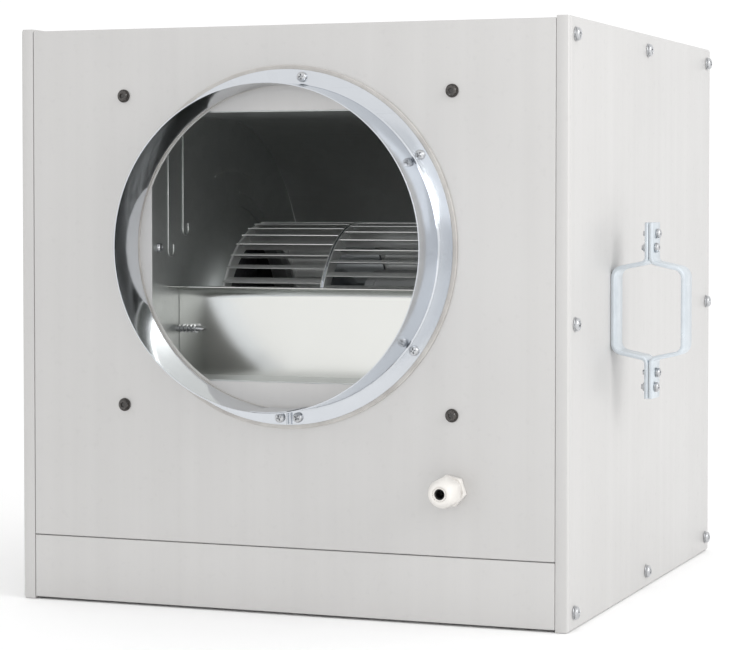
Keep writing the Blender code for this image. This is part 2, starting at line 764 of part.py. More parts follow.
def end_bell(name, open_end, closed_end):
    """A motor end cover with a seat for its bearing and a spigot into the shell."""
    inward = 1 if open_end > closed_end else -1
    wall = 2 * MOTOR_WALL
    floor = closed_end + inward * wall
    seat_outer = BEARING_RADIUS + GAP + wall
    seat_inner = BEARING_RADIUS + GAP
    hole = SHAFT_RADIUS + 2 * HOLE_CLEARANCE
    profile = [
        (hole, closed_end),
        (MOTOR_RADIUS * 0.8, closed_end),
        (MOTOR_RADIUS, closed_end + inward * wall),
        (MOTOR_RADIUS, open_end),
        (MOTOR_RADIUS - wall, open_end),
        (MOTOR_RADIUS - wall, floor),
        (seat_outer, floor),
        (seat_outer, open_end),
        (seat_inner, open_end),
        (seat_inner, floor),
        (hole, floor),
    ]
    return turned(name, profile, "X", MEDIUM, MOTOR_PAINT, WHEEL_CENTRE)


def build_motor():
    shell_start = MOTOR_START + END_BELL_LENGTH + GAP
    shell_end = MOTOR_END - END_BELL_LENGTH - GAP
    inner = MOTOR_RADIUS - MOTOR_WALL
    shell = [(inner, shell_start), (MOTOR_RADIUS, shell_start), (MOTOR_RADIUS, shell_end),
             (inner, shell_end)]
    turned("motor_shell", shell, "X", MEDIUM, MOTOR_PAINT, WHEEL_CENTRE)
    end_bell("motor_left_end_bell", MOTOR_START + END_BELL_LENGTH, MOTOR_START)
    end_bell("motor_right_end_bell", MOTOR_END - END_BELL_LENGTH, MOTOR_END)

    start, end = core_ends()
    bore = ROTOR_RADIUS + AIR_SPACE
    outer = inner - GAP
    coil = (bore + outer) / 2
    overhang = ROTOR_MARGIN / 2
    stator = [
        (bore, start),
        (coil - overhang, start),
        (coil - overhang, start - overhang),
        (coil + overhang, start - overhang),
        (coil + overhang, start),
        (outer, start),
        (outer, end),
        (coil + overhang, end),
        (coil + overhang, end + overhang),
        (coil - overhang, end + overhang),
        (coil - overhang, end),
        (bore, end),
    ]
    turned("motor_stator", stator, "X", MEDIUM, COPPER, WHEEL_CENTRE)

    floor = 2 * MOTOR_WALL + GAP
    bearing_bore = SHAFT_RADIUS + HOLE_CLEARANCE
    for name, outer_end, inward in (
        ("left_bearing", MOTOR_START + floor, 1),
        ("right_bearing", MOTOR_END - floor, -1),
    ):
        inner_end = outer_end + inward * BEARING_WIDTH
        ring = [(bearing_bore, outer_end), (BEARING_RADIUS, outer_end), (BEARING_RADIUS, inner_end),
                (bearing_bore, inner_end)]
        turned(name, ring, "X", COARSE, STEEL, WHEEL_CENTRE)


def build_motor_mount():
    """A band round the motor and three arms from it to the right-hand inlet ring."""
    inner = MOTOR_RADIUS + GAP
    outer = inner + BAND_THICKNESS
    end = BAND_START + BAND_WIDTH
    band = [(inner, BAND_START), (outer, BAND_START), (outer, end), (inner, end)]
    turned("motor_band", band, "X", MEDIUM, ZINC, WHEEL_CENTRE)
    seat = PLATE_X + 2 * PLATE_THICKNESS + 2 * GAP
    low = outer + 2 * GAP
    corner = (seat + ARM_THICKNESS, low)
    line = rounded([(BAND_START, low), corner, (corner[0], ARM_REACH)], ARM_THICKNESS * 1.5)
    for number in range(ARM_COUNT):
        form = bmesh.new()
        points = []
        for along, up in strip(line, ARM_THICKNESS):
            points.append(form.verts.new((along, -ARM_WIDTH / 2, up)))
        face = form.faces.new(points)
        drawn = bmesh.ops.extrude_face_region(form, geom=[face])["geom"]
        moved = [item for item in drawn if isinstance(item, bmesh.types.BMVert)]
        bmesh.ops.translate(form, verts=moved, vec=(0, ARM_WIDTH, 0))
        arm = add(f"motor_arm_{number + 1}", form, ZINC, WHEEL_CENTRE)
        arm.rotation_euler = (2 * math.pi * number / ARM_COUNT, 0, 0)


# ---------------------------------------------------------------- electrical parts


def hex_ring_form(across_flats, bore, start, end):
    """A hexagonal washer about the Y axis, its round bore met by the corners of each flat."""
    form = bmesh.new()
    corner_count = 6
    per_side = 4
    steps = corner_count * per_side
    rings = []
    for along in (start, end):
        outer = []
        inner = []
        for step in range(steps):
            turn = 2 * math.pi * step / steps
            off = (turn + math.pi / 6) % (math.pi / 3) - math.pi / 6
            reach = across_flats / 2 / math.cos(off)
            outer.append(form.verts.new((reach * math.cos(turn), along, reach * math.sin(turn))))
            inner.append(form.verts.new((bore * math.cos(turn), along, bore * math.sin(turn))))
        rings += [outer, inner]
    outer_low, inner_low, outer_high, inner_high = rings
    for first, second in (
        (outer_low, outer_high),
        (outer_high, inner_high),
        (inner_high, inner_low),
        (inner_low, outer_low),
    ):
        for step in range(steps):
            after = (step + 1) % steps
            form.faces.new((first[step], first[after], second[after], second[step]))
    return form


def build_gland():
    """A cable gland, ready for the supply cable, and its nut inside the panel."""
    place = (GLAND_X, FRONT, GLAND_Z)
    seat = -GAP
    flange_end = seat - GLAND_FLANGE_LENGTH
    neck_end = flange_end - GLAND_NECK_LENGTH - GLAND_NUT_HEX_LENGTH / 2
    thread_end = SHEET + GAP + LOCKNUT_THICKNESS + GLAND_THREAD_SPARE
    neck_radius = GLAND_THREAD_RADIUS - GLAND_THREAD_STEP
    profile = [
        (GLAND_BORE_RADIUS, neck_end),
        (neck_radius, neck_end),
        (neck_radius, thread_end),
        (GLAND_BORE_RADIUS, thread_end),
    ]
    body = turned("gland_body", profile, "Y", COARSE, WHITE_PLASTIC, place)
    core = (GLAND_BORE_RADIUS + neck_radius) / 2
    change(body, "UNION", [hex_ring_form(GLAND_HEX, core, flange_end, seat)], place)

    nut_start = flange_end - GLAND_NECK_LENGTH
    nut_end = nut_start - GLAND_NUT_HEX_LENGTH
    dome_end = nut_end - GLAND_DOME_LENGTH
    crown = GLAND_SEAL_RADIUS + GLAND_CROWN_LIP
    dome = GLAND_HEX / 2 - crown
    bore = neck_radius + HOLE_CLEARANCE
    mouth = GLAND_SEAL_RADIUS + HOLE_CLEARANCE
    shoulder = neck_end - GAP
    outside = []
    for step in range(6):
        turn = math.pi / 2 * step / 5
        outside.append((crown + dome * math.cos(turn), nut_end - GLAND_DOME_LENGTH * math.sin(turn)))
    nut_profile = [
        (GLAND_HEX / 2, nut_start),
        *outside,
        (mouth, dome_end),
        (mouth, shoulder),
        (bore, shoulder),
        (bore, nut_start),
    ]
    nut = turned("gland_nut", nut_profile, "Y", COARSE, WHITE_PLASTIC, place)
    change(nut, "UNION", [hex_ring_form(GLAND_HEX, bore + GLAND_CROWN_LIP, nut_start, nut_end)], place)

    seal = [
        (GLAND_HOLE_RADIUS, dome_end + 2 * GLAND_SEAL_DISH),
        (GLAND_SEAL_RADIUS, dome_end + GLAND_SEAL_DISH),
        (GLAND_SEAL_RADIUS, shoulder),
        (GLAND_HOLE_RADIUS, shoulder),
    ]
    turned("gland_seal", seal, "Y", COARSE, BLACK_RUBBER, place)

    nut_seat = SHEET + GAP
    ring = hex_ring_form(LOCKNUT_HEX, GLAND_THREAD_RADIUS, nut_seat, nut_seat + LOCKNUT_THICKNESS)
    add("gland_locknut", ring, WHITE_PLASTIC, place)


def build_terminal_box():
    """A small box inside the front panel where the supply meets the motor's lead."""
    left = TERMINAL_BOX_LEFT
    right = left + TERMINAL_BOX_WIDTH
    back = FRONT + SHEET + GAP
    mouth = back + TERMINAL_BOX_DEPTH
    low = TERMINAL_BOX_BASE
    high = low + TERMINAL_BOX_HEIGHT
    wall = TERMINAL_BOX_WALL
    case = box("terminal_box", (left, back, low), (right, mouth, high), WHITE_PLASTIC)
    hollow = box_form((left + wall, back + wall, low + wall), (right - wall, mouth + wall, high - wall))
    change(case, "DIFFERENCE", [hollow])
    lid_low = (left, mouth + GAP, low)
    lid_high = (right, mouth + GAP + wall, high)
    box("terminal_box_lid", lid_low, lid_high, WHITE_PLASTIC)


def lead_points():
    """The motor lead's way from the terminal box, under the scroll, to the motor's end."""
    box_side = TERMINAL_BOX_LEFT + TERMINAL_BOX_WIDTH + GAP
    start = Vector((box_side, FRONT + 0.022, TERMINAL_BOX_BASE + 0.028))
    end = Vector((MOTOR_END + GAP, WHEEL_Y, WHEEL_Z - MOTOR_RADIUS * 0.55))
    away = PLATE_X + 0.050
    return [
        start,
        start + Vector((0.022, 0.002, -0.002)),
        Vector((away - 0.004, FRONT + 0.050, TERMINAL_BOX_BASE + 0.018)),
        Vector((away, FRONT + 0.110, TERMINAL_BOX_BASE + 0.020)),
        Vector((away, FRONT + 0.160, TERMINAL_BOX_BASE + 0.048)),
        Vector((away - 0.010, WHEEL_Y - 0.008, end.z - 0.042)),
        Vector((away - 0.030, WHEEL_Y, end.z - 0.008)),
        end + Vector((0.018, 0, 0)),
        end,
    ]


def smooth_line(points, steps):
    """A Catmull-Rom curve through the points."""
    points = [points[0] * 2 - points[1], *points, points[-1] * 2 - points[-2]]
    line = []
    for before, here, there, after in zip(points, points[1:], points[2:], points[3:]):
        for step in range(steps):
            share = step / steps
            bend = (2 * before - 5 * here + 4 * there - after) * share**2
            twist = (3 * here - before - 3 * there + after) * share**3
            line.append((2 * here + (there - before) * share + bend + twist) / 2)
    return [*line, points[-2]]


def build_lead():
    curve = bpy.data.curves.new("motor_lead", "CURVE")
    curve.dimensions = "3D"
    curve.bevel_depth = LEAD_RADIUS
    curve.bevel_resolution = 2
    curve.use_fill_caps = True
    line = smooth_line(lead_points(), 4)
    spline = curve.splines.new("POLY")
    spline.points.add(len(line) - 1)
    for spot, point in zip(spline.points, line):
        spot.co = (*point, 1)
    curve.materials.append(BLACK_RUBBER)
    lead = bpy.data.objects.new("motor_lead", curve)
    bpy.context.scene.collection.objects.link(lead)


def build_capacitor():
    """The motor's run capacitor, clipped to the right-hand scroll plate."""
    seat = PLATE_X + PLATE_THICKNESS + GAP
    centre = (seat + CAPACITOR_RADIUS + 2 * GAP, FRONT + CAPACITOR_DEPTH, CAPACITOR_Z)
    can = [
        (0, 0),
        (CAPACITOR_RADIUS * 0.88, 0),
        (CAPACITOR_RADIUS, CAPACITOR_CHAMFER),
        (CAPACITOR_RADIUS, CAPACITOR_LENGTH - CAPACITOR_CHAMFER),
        (CAPACITOR_RADIUS * 0.88, CAPACITOR_LENGTH),
        (0, CAPACITOR_LENGTH),
    ]
    turned("capacitor", can, "Y", COARSE, WHITE_PLASTIC, centre)
    inner = CAPACITOR_RADIUS + GAP
    reach = seat - centre[0]
    hoop = arc((0, 0), inner, -math.pi / 2, math.pi / 2, 10)
    corner_x = reach + CLIP_THICKNESS
    line = [
        (corner_x, -inner - CLIP_FOOT),
        (corner_x, -inner),
        *hoop,
        (corner_x, inner),
        (corner_x, inner + CLIP_FOOT),
    ]
    middle = CAPACITOR_LENGTH / 2
    extruded("capacitor_clip", strip(line, -CLIP_THICKNESS), "Y", middle - CLIP_WIDTH / 2,
             middle + CLIP_WIDTH / 2, ZINC, centre)


# ---------------------------------------------------------------- handles


def handle_middle_y():
    return HANDLE_FRONT + HANDLE_WIDTH / 2


def handle_strip(name, side, root, bar, place_x):
    """A hat-shaped strip: a bar, two sloping shoulders and two tabs, outlined in X and Z."""
    half_bar = HANDLE_BAR_HEIGHT / 2
    shoulder = half_bar + HANDLE_SHOULDER_RISE
    tip = shoulder + HANDLE_TAB + HANDLE_CORNER
    line = rounded(
        [(root, -tip), (root, -shoulder), (bar, -half_bar), (bar, half_bar), (root, shoulder),
         (root, tip)],
        HANDLE_CORNER,
        4,
    )
    side_of_line = 1 if bar < root else -1
    outline = [(side * x, z) for x, z in strip(line, side_of_line * HANDLE_THICKNESS)]
    y = HANDLE_FRONT
    obj = extruded(name, outline, "Y", y, y + HANDLE_WIDTH, ZINC, (side * place_x, 0, HANDLE_Z))
    first = shoulder + HANDLE_CORNER + HANDLE_BOLT_INSET
    holes = []
    for up in (-1, 1):
        for number in range(2):
            height = HANDLE_Z + up * (first + number * HANDLE_BOLT_SPACING)
            place = (side * (place_x + root), handle_middle_y(), height)
            holes.append(rod_form(HANDLE_BOLT_RADIUS, "X", -HOLE_REACH, HOLE_REACH, place, HOLE))
    if bar < root:
        for up in (-1, 1):
            place = (side * (place_x + bar), handle_middle_y(), HANDLE_Z + up * HANDLE_BOLT_SPACING)
            holes.append(rod_form(HANDLE_BOLT_RADIUS, "X", -HOLE_REACH, HOLE_REACH, place, HOLE))
    return change(obj, "DIFFERENCE", holes)


def build_handles():
    wall = BOX_WIDTH / 2
    middle = HANDLE_REACH / 2 + HANDLE_STANDOFF
    for name, side in (("left_handle", -1), ("right_handle", 1)):
        inner_bar = GAP + HANDLE_THICKNESS
        outer_bar = HANDLE_REACH - HANDLE_THICKNESS
        slit = GAP / 2
        handle_strip(name + "_inner", side, middle - slit, inner_bar, wall)
        handle_strip(name + "_outer", side, middle + slit, outer_bar, wall)


# ---------------------------------------------------------------- assembly

build_casing()
build_linings()
build_spigot("outlet", FRONT, -1, OUTLET_X, OUTLET_Z)
build_spigot("inlet", BACK, 1, 0, INLET_Z)
build_housing()
build_frame_screws()

rotor_axis = bpy.data.objects.new("rotor_axis", None)
rotor_axis.location = WHEEL_CENTRE
bpy.context.scene.collection.objects.link(rotor_axis)
build_impeller(rotor_axis)
build_hub(rotor_axis)
build_shaft_and_core(rotor_axis)

build_motor()
build_motor_mount()
build_gland()
build_terminal_box()
build_lead()
build_capacitor()
build_handles()
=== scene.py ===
# %% [markdown]
# # An inline duct fan
# The fan is a square box of folded sheet with a centrifugal blower inside. The working model
# already holds every solid that matters for size, so this lesson only adds the finish: folded
# edges, screws, seams, pressed beads and the look of each metal. Everything is in metres.

# %% Load the working model
import json
import math

import bmesh
import bpy
from mathutils import Matrix, Vector


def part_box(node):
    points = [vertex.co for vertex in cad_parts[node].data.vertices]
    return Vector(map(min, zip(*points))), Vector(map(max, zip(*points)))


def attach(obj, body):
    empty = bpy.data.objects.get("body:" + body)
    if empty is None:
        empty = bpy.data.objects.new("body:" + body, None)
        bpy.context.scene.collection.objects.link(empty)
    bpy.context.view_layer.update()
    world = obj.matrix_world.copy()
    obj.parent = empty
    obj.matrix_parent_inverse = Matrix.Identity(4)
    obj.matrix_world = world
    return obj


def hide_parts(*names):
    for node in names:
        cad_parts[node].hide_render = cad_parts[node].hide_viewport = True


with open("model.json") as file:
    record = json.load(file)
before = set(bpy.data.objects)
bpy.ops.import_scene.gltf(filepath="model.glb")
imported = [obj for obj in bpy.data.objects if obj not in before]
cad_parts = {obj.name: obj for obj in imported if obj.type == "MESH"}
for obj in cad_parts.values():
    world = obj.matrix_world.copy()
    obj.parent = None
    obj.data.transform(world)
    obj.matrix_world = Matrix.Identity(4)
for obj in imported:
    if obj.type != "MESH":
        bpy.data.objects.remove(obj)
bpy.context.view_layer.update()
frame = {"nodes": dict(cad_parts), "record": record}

# %% [markdown]
# ## Small tools
# An operator acts on whatever is selected, so a piece is always opened alone and with nothing
# picked. Short helpers do that, pick by place or direction, and apply a modifier.

# %% Opening, picking and closing a piece


def nothing_selected():
    if bpy.context.mode != "OBJECT":
        bpy.ops.object.mode_set(mode="OBJECT")
    bpy.ops.object.select_all(action="DESELECT")


def select_only(piece):
    nothing_selected()
    piece.select_set(True)
    bpy.context.view_layer.objects.active = piece


def open_piece(piece, kind="FACE"):
    select_only(piece)
    bpy.ops.object.mode_set(mode="EDIT")
    bpy.ops.mesh.select_mode(type=kind)
    bpy.ops.mesh.select_all(action="DESELECT")


def pick(piece, kind, test):
    """Selects the faces, edges or verts that pass a test, in edit mode."""
    mesh = bmesh.from_edit_mesh(piece.data)
    for item in getattr(mesh, kind):
        item.select_set(bool(test(item)))
    mesh.select_flush_mode()
    bmesh.update_edit_mesh(piece.data)


def apply_modifier(piece, kind, **settings):
    select_only(piece)
    modifier = piece.modifiers.new(kind.lower(), kind)
    for name, value in settings.items():
        setattr(modifier, name, value)
    bpy.ops.object.modifier_apply(modifier=modifier.name)


def soften(piece, width, segments=2, angle=30):
    """Rounds every edge sharper than an angle in degrees."""
    apply_modifier(
        piece,
        "BEVEL",
        width=width,
        segments=segments,
        limit_method="ANGLE",
        angle_limit=math.radians(angle),
    )


def cut(piece, cutter, operation="DIFFERENCE"):
    """A Boolean, after which the cutter is thrown away."""
    apply_modifier(piece, "BOOLEAN", object=cutter, operation=operation, solver="EXACT")
    bpy.data.objects.remove(cutter, do_unlink=True)


print("helpers ready")

# %% [markdown]
# ## Ways to make a shape
# Nearly all of this machine is folded, turned or bent. A block is a cube primitive at its
# final size. A turned piece is a line of points spun about an axis. A bent strip is one edge
# that is extruded from bend to bend and then given its thickness.

# %% Blocks, turned pieces and bent strips
AXES = {"X": Vector((1, 0, 0)), "Y": Vector((0, 1, 0)), "Z": Vector((0, 0, 1))}
ACROSS = {"X": Vector((0, 0, 1)), "Y": Vector((0, 0, 1)), "Z": Vector((1, 0, 0))}


def block(name, low, high):
    nothing_selected()
    size = Vector([abs(there - here) for here, there in zip(low, high)])
    middle = (Vector(low) + Vector(high)) / 2
    bpy.ops.mesh.primitive_cube_add(size=1, location=middle, scale=size)
    piece = bpy.context.object
    piece.name = name
    bpy.ops.object.transform_apply(location=True, rotation=True, scale=True)
    return piece


def line_of(name, points):
    """One vertex drawn out from point to point."""
    nothing_selected()
    points = [Vector(point) for point in points]
    bpy.ops.mesh.primitive_plane_add(size=0.001, location=points[0])
    piece = bpy.context.object
    piece.name = name
    bpy.ops.object.transform_apply(location=True, rotation=True, scale=True)
    bpy.ops.object.mode_set(mode="EDIT")
    bpy.ops.mesh.select_mode(type="VERT")
    bpy.ops.mesh.select_all(action="SELECT")
    bpy.ops.mesh.merge(type="CENTER")
    for here, there in zip(points, points[1:]):
        bpy.ops.mesh.extrude_region_move(TRANSFORM_OT_translate={"value": there - here})
    return piece


def clean(piece):
    bpy.ops.mesh.select_all(action="SELECT")
    bpy.ops.mesh.remove_doubles(threshold=1e-5)
    bpy.ops.mesh.normals_make_consistent(inside=False)
    bpy.ops.object.mode_set(mode="OBJECT")
    return piece


def turned(name, profile, axis, centre, steps=64, ring=True):
    """Spins (radius, along) points about an axis. A ring's profile is joined end to end."""
    centre = Vector(centre)
    points = [centre + AXES[axis] * along + ACROSS[axis] * radius for radius, along in profile]
    piece = line_of(name, points)
    if ring:
        last = len(points) - 1
        pick(piece, "verts", lambda vert: vert.index in (0, last))
        bpy.ops.mesh.edge_face_add()
    bpy.ops.mesh.select_all(action="SELECT")
    bpy.ops.mesh.spin(steps=steps, angle=2 * math.pi, center=centre, axis=AXES[axis])
    return clean(piece)


def bent_strip(name, points, width, thickness, offset=0.0):
    """A flat strip, one edge wide, that follows the points. Width is a vector."""
    points = [Vector(point) for point in points]
    width = Vector(width)
    piece = line_of(name, [points[0], points[0] + width])
    bpy.ops.mesh.select_all(action="SELECT")
    for here, there in zip(points, points[1:]):
        bpy.ops.mesh.extrude_region_move(TRANSFORM_OT_translate={"value": there - here})
    bpy.ops.object.mode_set(mode="OBJECT")
    if thickness:
        apply_modifier(
            piece, "SOLIDIFY", thickness=thickness, offset=offset, use_even_offset=True
        )
    return piece


def arc(centre, radius, start, end, steps):
    """Points on an arc, in the plane of a profile."""
    turns = [start + (end - start) * step / steps for step in range(steps + 1)]
    return [(centre[0] + radius * math.cos(t), centre[1] + radius * math.sin(t)) for t in turns]


def rounded(points, radius, steps=6):
    """A line of 2-D points whose corners are drawn as arcs."""
    line = [Vector(point) for point in points]
    result = [line[0]]
    for before, corner, after in zip(line, line[1:], line[2:]):
        back = (before - corner).normalized()
        on = (after - corner).normalized()
        half = back.angle(on) / 2
        centre = corner + (back + on).normalized() * radius / math.sin(half)
        first = corner + back * radius / math.tan(half) - centre
        last = corner + on * radius / math.tan(half) - centre
        for step in range(steps + 1):
            spoke = first.normalized().slerp(last.normalized(), step / steps) * radius
            result.append(centre + spoke)
    return result + [line[-1]]


print("shapes ready")

# %% [markdown]
# ## Finishing a piece
# A finished piece has its place in its mesh, smooth shading up to a sharp fold, one material,
# and a body to ride on. When it stands for a solid of the working model, that solid is hidden.


def finish(piece, body, material, replaced=(), smooth=32):
    select_only(piece)
    bpy.ops.object.transform_apply(location=True, rotation=True, scale=True)
    bpy.ops.object.shade_smooth_by_angle(angle=math.radians(smooth))
    piece.data.materials.clear()
    piece.data.materials.append(material)
    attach(piece, body)
    if replaced:
        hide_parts(*replaced)
    return piece


def copy_to(master, name, place, facing, twist=0.0):
    """A copy of a piece modelled along +Z at the origin, turned to face a way."""
    select_only(master)
    bpy.ops.object.duplicate(linked=False)
    piece = bpy.context.object
    piece.name = name
    turn = Vector(facing).to_track_quat("Z", "Y").to_matrix() @ Matrix.Rotation(twist, 3, "Z")
    piece.matrix_world = Matrix.Translation(Vector(place)) @ turn.to_4x4()
    return piece


def throw_away(*masters):
    for master in masters:
        bpy.data.objects.remove(master, do_unlink=True)


print("finishing ready")

# %% [markdown]
# ## Shared surface effects
# Sheet metal is never one flat colour. Rolled and coated sheet has long faint streaks, zinc
# has crystals called spangle, and everything has a fine grain. Each effect is one node group
# that several finishes share. A group reads a position and gives a mask between 0 and 1.

# %% Effect groups


def new_group(name, sliders):
    group = bpy.data.node_groups.new(name, "ShaderNodeTree")
    group.interface.new_socket("Vector", in_out="INPUT", socket_type="NodeSocketVector")
    for slider, value in sliders.items():
        socket = group.interface.new_socket(
            slider, in_out="INPUT", socket_type="NodeSocketFloat"
        )
        socket.default_value = value
    group.interface.new_socket("Mask", in_out="OUTPUT", socket_type="NodeSocketFloat")
    return group, group.nodes.new("NodeGroupInput"), group.nodes.new("NodeGroupOutput")


def node(tree, kind, **values):
    made = tree.nodes.new(kind)
    for name, value in values.items():
        if name in made.inputs:
            made.inputs[name].default_value = value
        else:
            setattr(made, name, value)
    return made


def stretched_noise(group, inside, long_axis, **settings):
    """A noise drawn out along one axis, as the group's two sliders say."""
    scale = node(group, "ShaderNodeCombineXYZ")
    for axis in "XYZ":
        slider = "Along" if axis == long_axis else "Across"
        group.links.new(inside.outputs[slider], scale.inputs[axis])
    stretch = node(group, "ShaderNodeVectorMath", operation="MULTIPLY")
    noise = node(group, "ShaderNodeTexNoise", Scale=1.0, **settings)
    group.links.new(inside.outputs["Vector"], stretch.inputs[0])
    group.links.new(scale.outputs[0], stretch.inputs[1])
    group.links.new(stretch.outputs[0], noise.inputs["Vector"])
    return noise.outputs["Fac"]


def plain_noise(group, inside, **settings):
    """An even noise of the group's scale."""
    noise = node(group, "ShaderNodeTexNoise", **settings)
    group.links.new(inside.outputs["Vector"], noise.inputs["Vector"])
    group.links.new(inside.outputs["Scale"], noise.inputs["Scale"])
    return noise.outputs["Fac"]


def contrast(group, mask, low, high):
    """Spreads what lies between two values over the whole range."""
    ramp = node(group, "ShaderNodeMapRange")
    ramp.inputs["From Min"].default_value = low
    ramp.inputs["From Max"].default_value = high
    group.links.new(mask, ramp.inputs["Value"])
    return ramp.outputs["Result"]


def make_streaks():
    """Long soft bands along one direction, as rolling leaves them."""
    group, inside, out = new_group("rolled streaks", {"Across": 40.0, "Along": 1.2})
    noise = stretched_noise(group, inside, "Z", Detail=5.0, Roughness=0.6)
    group.links.new(noise, out.inputs["Mask"])
    return group


def make_spangle():
    """The crystal patches of a hot-dip zinc coat, their edges shifted a little by a noise."""
    group, inside, out = new_group("zinc spangle", {"Scale": 90.0})
    wobble = node(group, "ShaderNodeTexNoise", Scale=30.0, Detail=2.0)
    shift = node(group, "ShaderNodeMix", data_type="VECTOR", Factor=0.012)
    cells = node(group, "ShaderNodeTexVoronoi", feature="F1")
    grey = node(group, "ShaderNodeSeparateColor")
    group.links.new(inside.outputs["Vector"], wobble.inputs["Vector"])
    group.links.new(inside.outputs["Vector"], shift.inputs["A"])
    group.links.new(wobble.outputs["Color"], shift.inputs["B"])
    group.links.new(shift.outputs["Result"], cells.inputs["Vector"])
    group.links.new(inside.outputs["Scale"], cells.inputs["Scale"])
    group.links.new(cells.outputs["Color"], grey.inputs[0])
    group.links.new(grey.outputs[0], out.inputs["Mask"])
    return group


def make_clouds():
    """Broad patches of handling marks and dust."""
    group, inside, out = new_group("handling clouds", {"Scale": 7.0})
    noise = plain_noise(group, inside, Detail=6.0, Roughness=0.55)
    group.links.new(contrast(group, noise, 0.3, 0.7), out.inputs["Mask"])
    return group


def make_grain():
    """A fine even grain."""
    group, inside, out = new_group("fine grain", {"Scale": 900.0})
    noise = plain_noise(group, inside, Detail=3.0, Roughness=0.5)
    group.links.new(noise, out.inputs["Mask"])
    return group


def make_scratches():
    """Sparse hair lines: thin bands of a noise that is stretched one way."""
    group, inside, out = new_group("hair scratches", {"Across": 300.0, "Along": 6.0})
    noise = stretched_noise(group, inside, "X", Detail=2.0)
    group.links.new(contrast(group, noise, 0.62, 0.74), out.inputs["Mask"])
    return group


GROUPS = {
    "streaks": make_streaks(),
    "spangle": make_spangle(),
    "clouds": make_clouds(),
    "grain": make_grain(),
    "scratches": make_scratches(),
}
print("effects:", ", ".join(GROUPS))

# %% [markdown]
# ## Finishes
# A finish is a Principled shader with constant sockets for what is the same all over, and a
# small stack of effects on colour, roughness and bump. Each layer says which effect it uses,
# its settings, and how strongly it darkens or tints the colour, roughens the surface, and
# raises it in millimetres.

# %% Building a finish from layers


class Finish:
    def __init__(self, name, colour, roughness, **constants):
        self.material = bpy.data.materials.new(name)
        self.material.use_nodes = True
        self.tree = self.material.node_tree
        self.shader = self.tree.nodes["Principled BSDF"]
        for socket, value in constants.items():
            self.shader.inputs[socket.replace("_", " ")].default_value = value
        self.place = node(self.tree, "ShaderNodeTexCoord").outputs["Object"]
        self.colour = node(self.tree, "ShaderNodeRGB").outputs[0]
        self.colour.default_value = (*colour, 1)
        self.roughness = node(self.tree, "ShaderNodeValue").outputs[0]
        self.roughness.default_value = roughness
        self.height = None

    def layer(self, effect, dark=0.0, tint=None, rough=0.0, height_mm=0.0, **sliders):
        tree = self.tree
        mask = tree.nodes.new("ShaderNodeGroup")
        mask.node_tree = GROUPS[effect]
        for slider, value in sliders.items():
            mask.inputs[slider].default_value = value
        tree.links.new(self.place, mask.inputs["Vector"])
        fac = mask.outputs["Mask"]
        if dark or tint:
            strength = node(tree, "ShaderNodeMath", operation="MULTIPLY")
            strength.inputs[1].default_value = dark if not tint else 1.0
            tree.links.new(fac, strength.inputs[0])
            mix = node(tree, "ShaderNodeMix", data_type="RGBA", blend_type="MIX")
            mix.inputs["B"].default_value = (*(tint or (0.0, 0.0, 0.0)), 1)
            tree.links.new(strength.outputs[0], mix.inputs["Factor"])
            tree.links.new(self.colour, mix.inputs["A"])
            self.colour = mix.outputs["Result"]
        if rough:
            add = node(tree, "ShaderNodeMath", operation="MULTIPLY_ADD", use_clamp=True)
            add.inputs[1].default_value = rough
            tree.links.new(fac, add.inputs[0])
            tree.links.new(self.roughness, add.inputs[2])
            self.roughness = add.outputs[0]
        if height_mm:
            add = node(tree, "ShaderNodeMath", operation="MULTIPLY_ADD")
            add.inputs[1].default_value = height_mm / 1000
            add.inputs[2].default_value = 0.0
            tree.links.new(fac, add.inputs[0])
            if self.height:
                tree.links.new(self.height, add.inputs[2])
            self.height = add.outputs[0]
        return self

    def done(self):
        self.tree.links.new(self.colour, self.shader.inputs["Base Color"])
        self.tree.links.new(self.roughness, self.shader.inputs["Roughness"])
        if self.height:
            bump = node(self.tree, "ShaderNodeBump", Strength=1.0, Distance=1.0)
            self.tree.links.new(self.height, bump.inputs["Height"])
            self.tree.links.new(bump.outputs[0], self.shader.inputs["Normal"])
        return self.material


print("layers ready")

# %% [markdown]
# ## The finishes of this fan
# The panels are coated sheet: pale, faintly warm and satin, with streaks that run up and down.
# The spigots are bright zinc. The blower's own sheet is a duller, darker zinc with a faint
# spangle, and it sits in shade. The cut-off plate faces the outlet, and is smooth and bright.

# %% Panel coat, zinc, steel, plastic, rubber and foam
PANEL = (
    Finish("panel coat", (0.605, 0.598, 0.590), 0.32, Metallic=0.30, Specular_IOR_Level=0.5)
    .layer("streaks", dark=0.07, rough=0.08, Across=60.0, Along=0.7)
    .layer("clouds", dark=0.03, rough=0.10, Scale=5.0)
    .layer("scratches", dark=0.02, rough=0.05, Across=160.0, Along=160.0)
    .layer("grain", height_mm=0.004, Scale=1400.0)
    .layer("clouds", height_mm=0.10, Scale=9.0)
    .done()
)
BRIGHT_ZINC = (
    Finish("bright zinc", (0.63, 0.655, 0.69), 0.10, Metallic=1.0)
    .layer("spangle", dark=0.02, rough=0.015, Scale=90.0)
    .layer("scratches", dark=0.03, rough=0.05, Across=400.0, Along=12.0)
    .layer("clouds", dark=0.03, rough=0.03, Scale=9.0)
    .layer("clouds", height_mm=0.05, Scale=11.0)
    .done()
)
PLATE_ZINC = (
    Finish("smooth zinc plate", (0.77, 0.775, 0.75), 0.17, Metallic=1.0)
    .layer("streaks", dark=0.04, rough=0.03, Across=18.0, Along=2.0)
    .layer("clouds", dark=0.03, rough=0.03, Scale=6.0)
    .layer("clouds", height_mm=0.06, Scale=5.0)
    .done()
)
